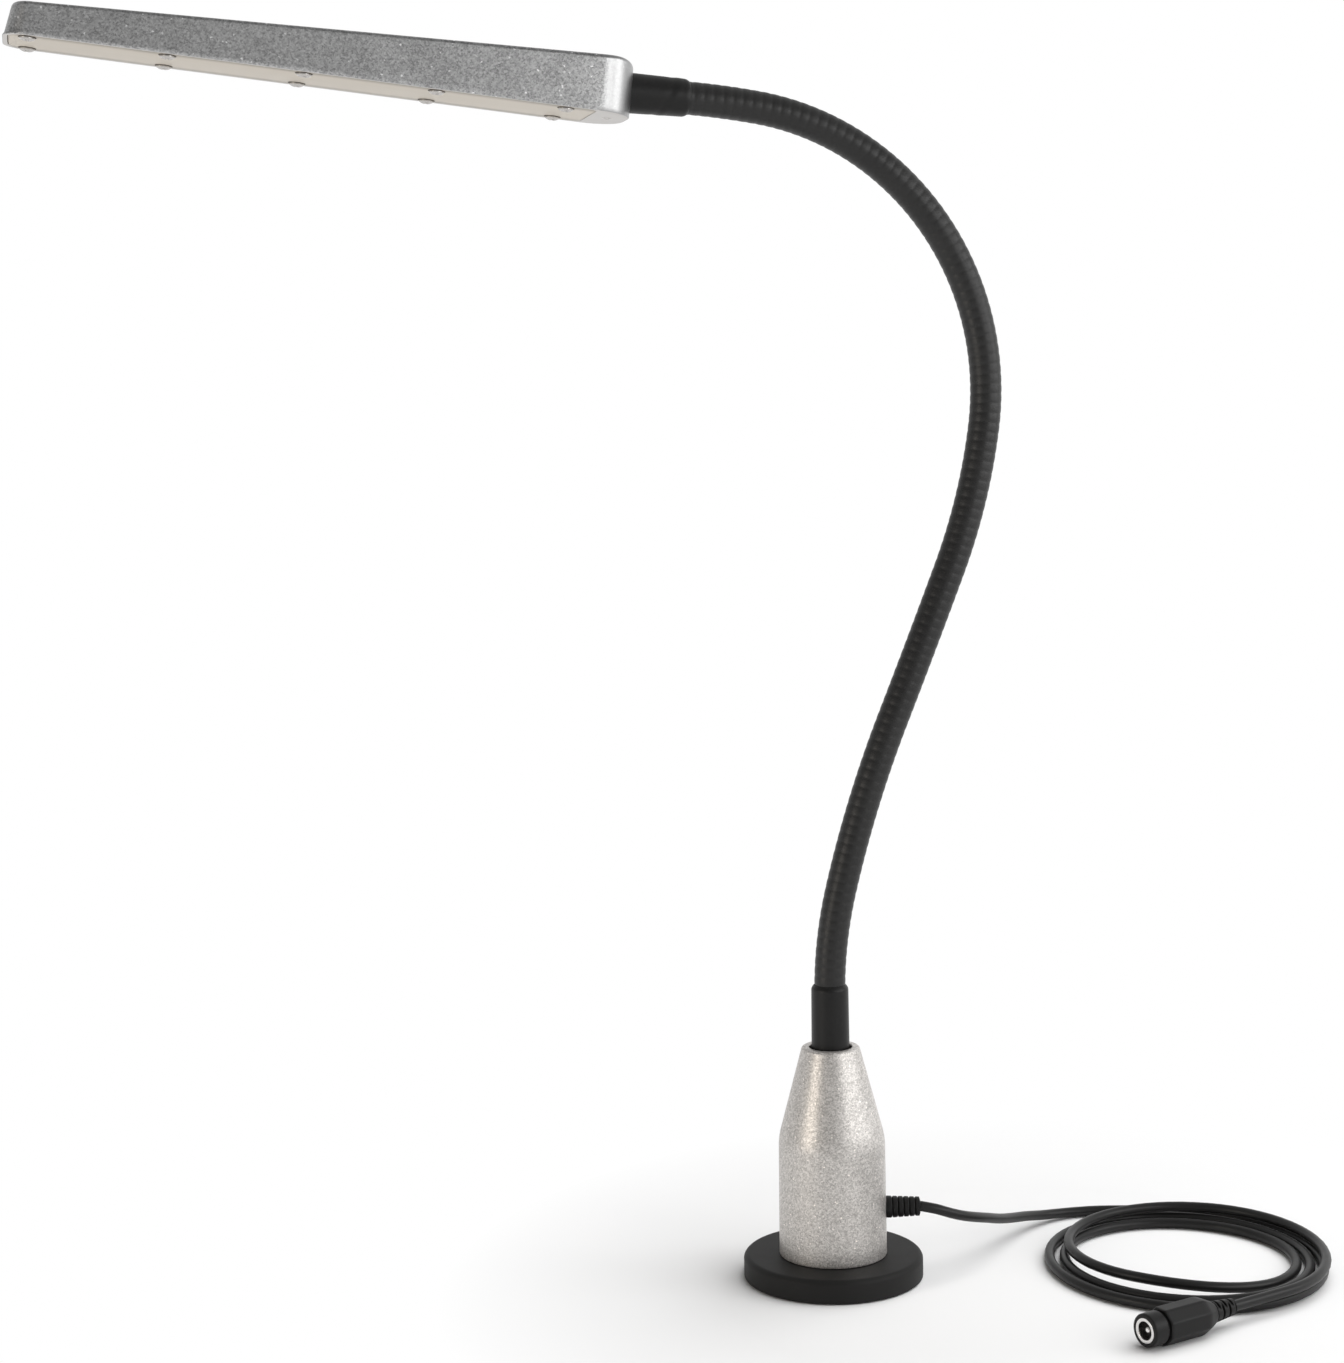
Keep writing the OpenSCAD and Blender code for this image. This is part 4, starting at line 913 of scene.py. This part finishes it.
wall_height = up_wall * (roof - edge_r) + round_off * edge_r
back_from_rim = RIM_STEP * np.clip(wall_height / RIM_STEP_H, 0, 1) + LEAN * np.clip(wall_height / LEAN_H, 0, 1)
lean = back_from_rim * np.clip((along_head - TIP_FROM) / (HEAD_TO - TIP_FROM), 0, 1)
walls = np.concatenate([outline - np.stack([lean, 0 * lean], axis=-1), wall_height[..., None]], axis=-1)
print("head walls:", len(walls), "outlines, up to", wall_height.max().round(2), "mm high")

# %% Head housing
root_at = float(head_origin @ head_x)
rubbed_corners = (tuple(head_x), root_at + ROOT_CORNER + 0.5, root_at + ROOT_CORNER - 1.5)
head_silver = blasted_silver(
    "blasted silver of the head", level=0.38, warm=0.0, gloss=0.37, grain=0.6, contrast=0.42, metal=1.0, relief=0.04,
    rubbed=rubbed_corners,
)
# Painted light: the underside's colour is set brighter than the walls' for the light it takes from the white floor;
# its milled streaks are real.
milled_and_floor_lit_silver = bright_metal(
    "milled underside of the head", level=0.55, warm=0.04, gloss=0.36, grain=0.5, stretch=(0.1, 1, 1)
)


def stacked(outlines, heights):
    """Rings of a grid: each outline at its own height."""
    return np.concatenate([outlines, np.array(heights)[:, None, None] + 0 * outlines[..., :1]], axis=-1)


recess = stacked(plan(14, 208.2, 14.7, 3.2, 6.6, [0, 0, -0.15]), [2.8, 0.2, 0])
underside = np.concatenate([recess, walls[:1]])
make(
    "lamp_head_housing",
    [skin(on_head(walls), "last filled"), skin(on_head(underside), "first filled")],
    [head_silver, milled_and_floor_lit_silver],
    "head",
    ["head_housing"],
)

# %% [markdown]
# ## Lens
# The lens is a frosted strip, let into the underside with a thin gap round it. Frosting scatters the light, so
# it shows as a warm, pale, nearly even surface. Faint flow lines along it break the evenness.


# %% Lens
def frosted(name, colour, shadow):
    """Frosted plastic: a pale colour with slow clouds, drawn out along the strip, a fine matt grain, and a deeper
    colour near the long edges, where the housing keeps the light out."""
    finish = Finish(name)
    flow, fine = finish.noise(5.0, 3, 0.5, (0.12, 1, 1)), finish.noise(0.3, 2)
    across = finish.node("ShaderNodeSeparateXYZ", sockets={"Vector": finish.point}, output="Y")
    middle = 1 - finish.spread(across * across, (9 * MM) ** 2, (14.4 * MM) ** 2)
    tint = finish.mix(finish.spread(0.3 * flow + 0.7 * middle, 0.15, 0.8), shadow, colour)
    rough = 0.34 + 0.14 * (fine - 0.5) + 0.1 * (flow - 0.5)
    return finish.shade(fine, 0.01, 0.2, Base_Color=tint, Roughness=rough, Specular_IOR_Level=0.1)


lens_finish = frosted("frosted lens", colour=(0.61, 0.557, 0.482, 1), shadow=(0.315, 0.28, 0.232, 1))
lens_plan = plan(14.2, 208.0, 14.5, 3.0, 6.4, [0.5, 0.28, 0.08, 0.0, 0.0, 0.0])
lens_grid = stacked(lens_plan, [0.0, 0.02, 0.14, 0.35, 1.0, 2.0])
make(
    "frosted_lens_strip",
    [skin(on_head(lens_grid), "filled")],
    lens_finish,
    "head",
    ["lens_cover"],
)

# %% [markdown]
# ## Screws
# Ten small button-head screws hold the lens. Under each head lies a thin dark ring, painted shadow for the gap
# round the head. A screw is a polar grid: the height depends on the distance from the middle and on the angle, so
# the cross-shaped recess is part of the same formula as the dome.

# %% Lens screws
SCREW_R = 2.6
screw_steel = bright_metal("bright screw steel", level=0.52, warm=0.04, gloss=0.26, grain=0.4)


def button_screw(sides=48):
    """Button head and shank: a dome that falls with a power of the distance, less a recess along two crossed bars
    that ends short of the rim, then the rim, the seat and the shank up into the housing."""
    angle = np.linspace(0, 2 * np.pi, sides, endpoint=False)[None]
    r = np.linspace(0, SCREW_R, 24)[:, None]
    x, y = r * np.cos(angle), r * np.sin(angle)
    bar = np.minimum(np.abs(x), np.abs(y))
    cut = np.clip((0.46 - bar) / 0.14, 0, 1) * np.clip((1.7 - r) / 0.3, 0, 1)
    dome = -1.3 + 0.75 * (r / SCREW_R) ** 2.4 + 0.6 * cut
    head = np.stack([x, y, dome], axis=-1)
    r, z = np.array([SCREW_R, 2.45, 1.2, 1.2, 0]), np.array([-0.15, 0.0, 0.0, 6.0, 6.0])
    rest = np.stack([r[:, None] * np.cos(angle), r[:, None] * np.sin(angle), z[:, None] + 0 * angle], axis=-1)
    return np.concatenate([head, rest])


# Painted shadow: a thin brown-black ring under each screw head stands in for the shadow in the gap round it.
screw_shadow_ring_profile = np.array([[1.3, 0], [1.3, -0.16], [2.8, -0.16], [2.95, -0.06], [2.95, 0]])
screw_shadow_ring = turned(screw_shadow_ring_profile, (0, 0, 0), UPRIGHT, 48)
screw_shadow_black = soft_black("brown sealing washer", level=0.03, gloss=0.6, grain=0.4, depth=0.02, warm=0.25)
screw_x, screw_y = np.meshgrid([202, 157.6, 113.2, 68.8, 24.4], [-11.4, 11.4])
screw_places = np.column_stack([screw_x.ravel(), screw_y.ravel(), np.zeros(10)])
make(
    "lens_button_screws",
    [skin(on_head(button_screw() + place)) for place in screw_places],
    screw_steel,
    "head",
    ["lens_screws"],
    crease=30,
)
make(
    "lens_screw_shadow_rings",
    [skin(on_head(screw_shadow_ring + place), "joined") for place in screw_places],
    screw_shadow_black,
    "head",
)

# %% [markdown]
# One grub screw at the neck's end clamps the neck in the head. It is a stub with a six-sided recess: the recess is
# a ring whose radius is the flat's distance over the cosine of the angle to the nearest flat.

# %% Grub screw
GRUB_AT = 7.5
grub_turn = np.linspace(0, 2 * np.pi, 48, endpoint=False)
flat_side = 1 / np.cos((grub_turn + np.pi / 6) % (np.pi / 3) - np.pi / 6)
in_recess = np.arange(7)[:, None] < 3
grub_r = np.array([0, 0.95, 0.95, 1.6, 1.9, 1.9, 0])[:, None] * np.where(in_recess, flat_side, 1)
grub_height = np.array([1.4, 1.4, -0.06, -0.08, 0.2, 3.4, 3.4])[:, None] + 0 * grub_r
grub_grid = np.stack([GRUB_AT + grub_r * np.cos(grub_turn), grub_r * np.sin(grub_turn), grub_height], axis=-1)
make("neck_grub_screw", [skin(on_head(grub_grid))], screw_steel, "head", ["head_grub_screw"], crease=30)

# %% [markdown]
# ## Inner parts
# The parts inside keep the shape of their solids. Each still gets the finish of what it is, since the lamp may be
# cut open in a drawing: brass ferrules, steel, green and white boards, and a yellow phosphor on the LEDs.


# %% Inner finishes
def dull(name, first, second, gloss, grain, metal=0.0):
    """An even finish between two colours, mottled by a noise that also moves its roughness and its relief."""
    finish = Finish(name)
    fine, slow = finish.noise(grain, 3), finish.noise(grain * 8, 2)
    colour = finish.mix(finish.spread(0.5 * fine + 0.5 * slow, 0.3, 0.7), first, second)
    rough = gloss + 0.15 * (fine - 0.5)
    return finish.shade(fine, 0.02, 0.25, Base_Color=colour, Roughness=rough, Metallic=metal)


inner = {
    dull("zinc-plated steel", grey(0.42), grey(0.55), 0.35, 0.7, 1.0): [
        "magnet_backing_plate", "magnet_stud", "lower_ferrule_nut",
    ],
    dull("nickel-plated magnet", grey(0.6), grey(0.7), 0.22, 0.5, 1.0): ["magnet_discs"],
    dull("turned aluminium", grey(0.55), grey(0.66), 0.38, 0.5, 1.0): ["base_plug"],
    dull("turned brass", (0.62, 0.47, 0.2, 1), (0.74, 0.57, 0.27, 1), 0.3, 0.5, 1.0): [
        "lower_ferrule", "upper_ferrule",
    ],
    dull("green board", (0.02, 0.14, 0.05, 1), (0.03, 0.19, 0.07, 1), 0.4, 0.6): ["driver_board"],
    dull("dark components", grey(0.03), grey(0.05), 0.5, 0.5): ["driver_components", "socket_insulator"],
    dull("white board", grey(0.74), grey(0.82), 0.45, 0.6): ["led_board"],
    dull("phosphor yellow", (0.8, 0.6, 0.16, 1), (0.88, 0.68, 0.22, 1), 0.4, 0.3): ["led_chips"],
    dull("grey thermal pad", grey(0.3), grey(0.38), 0.7, 0.6): ["thermal_pad"],
    dull("black gasket", grey(0.02), grey(0.035), 0.65, 0.5): ["lens_gasket"],
    cord_vinyl: ["supply_lead"],
}

# %% Dress the inner solids
for material, names in inner.items():
    for name in names:
        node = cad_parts[name]
        node.data.materials.clear()
        node.data.materials.append(material)
shown = [n for n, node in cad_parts.items() if not node.hide_render]
print("solids that still show:", len(shown), sorted(shown))
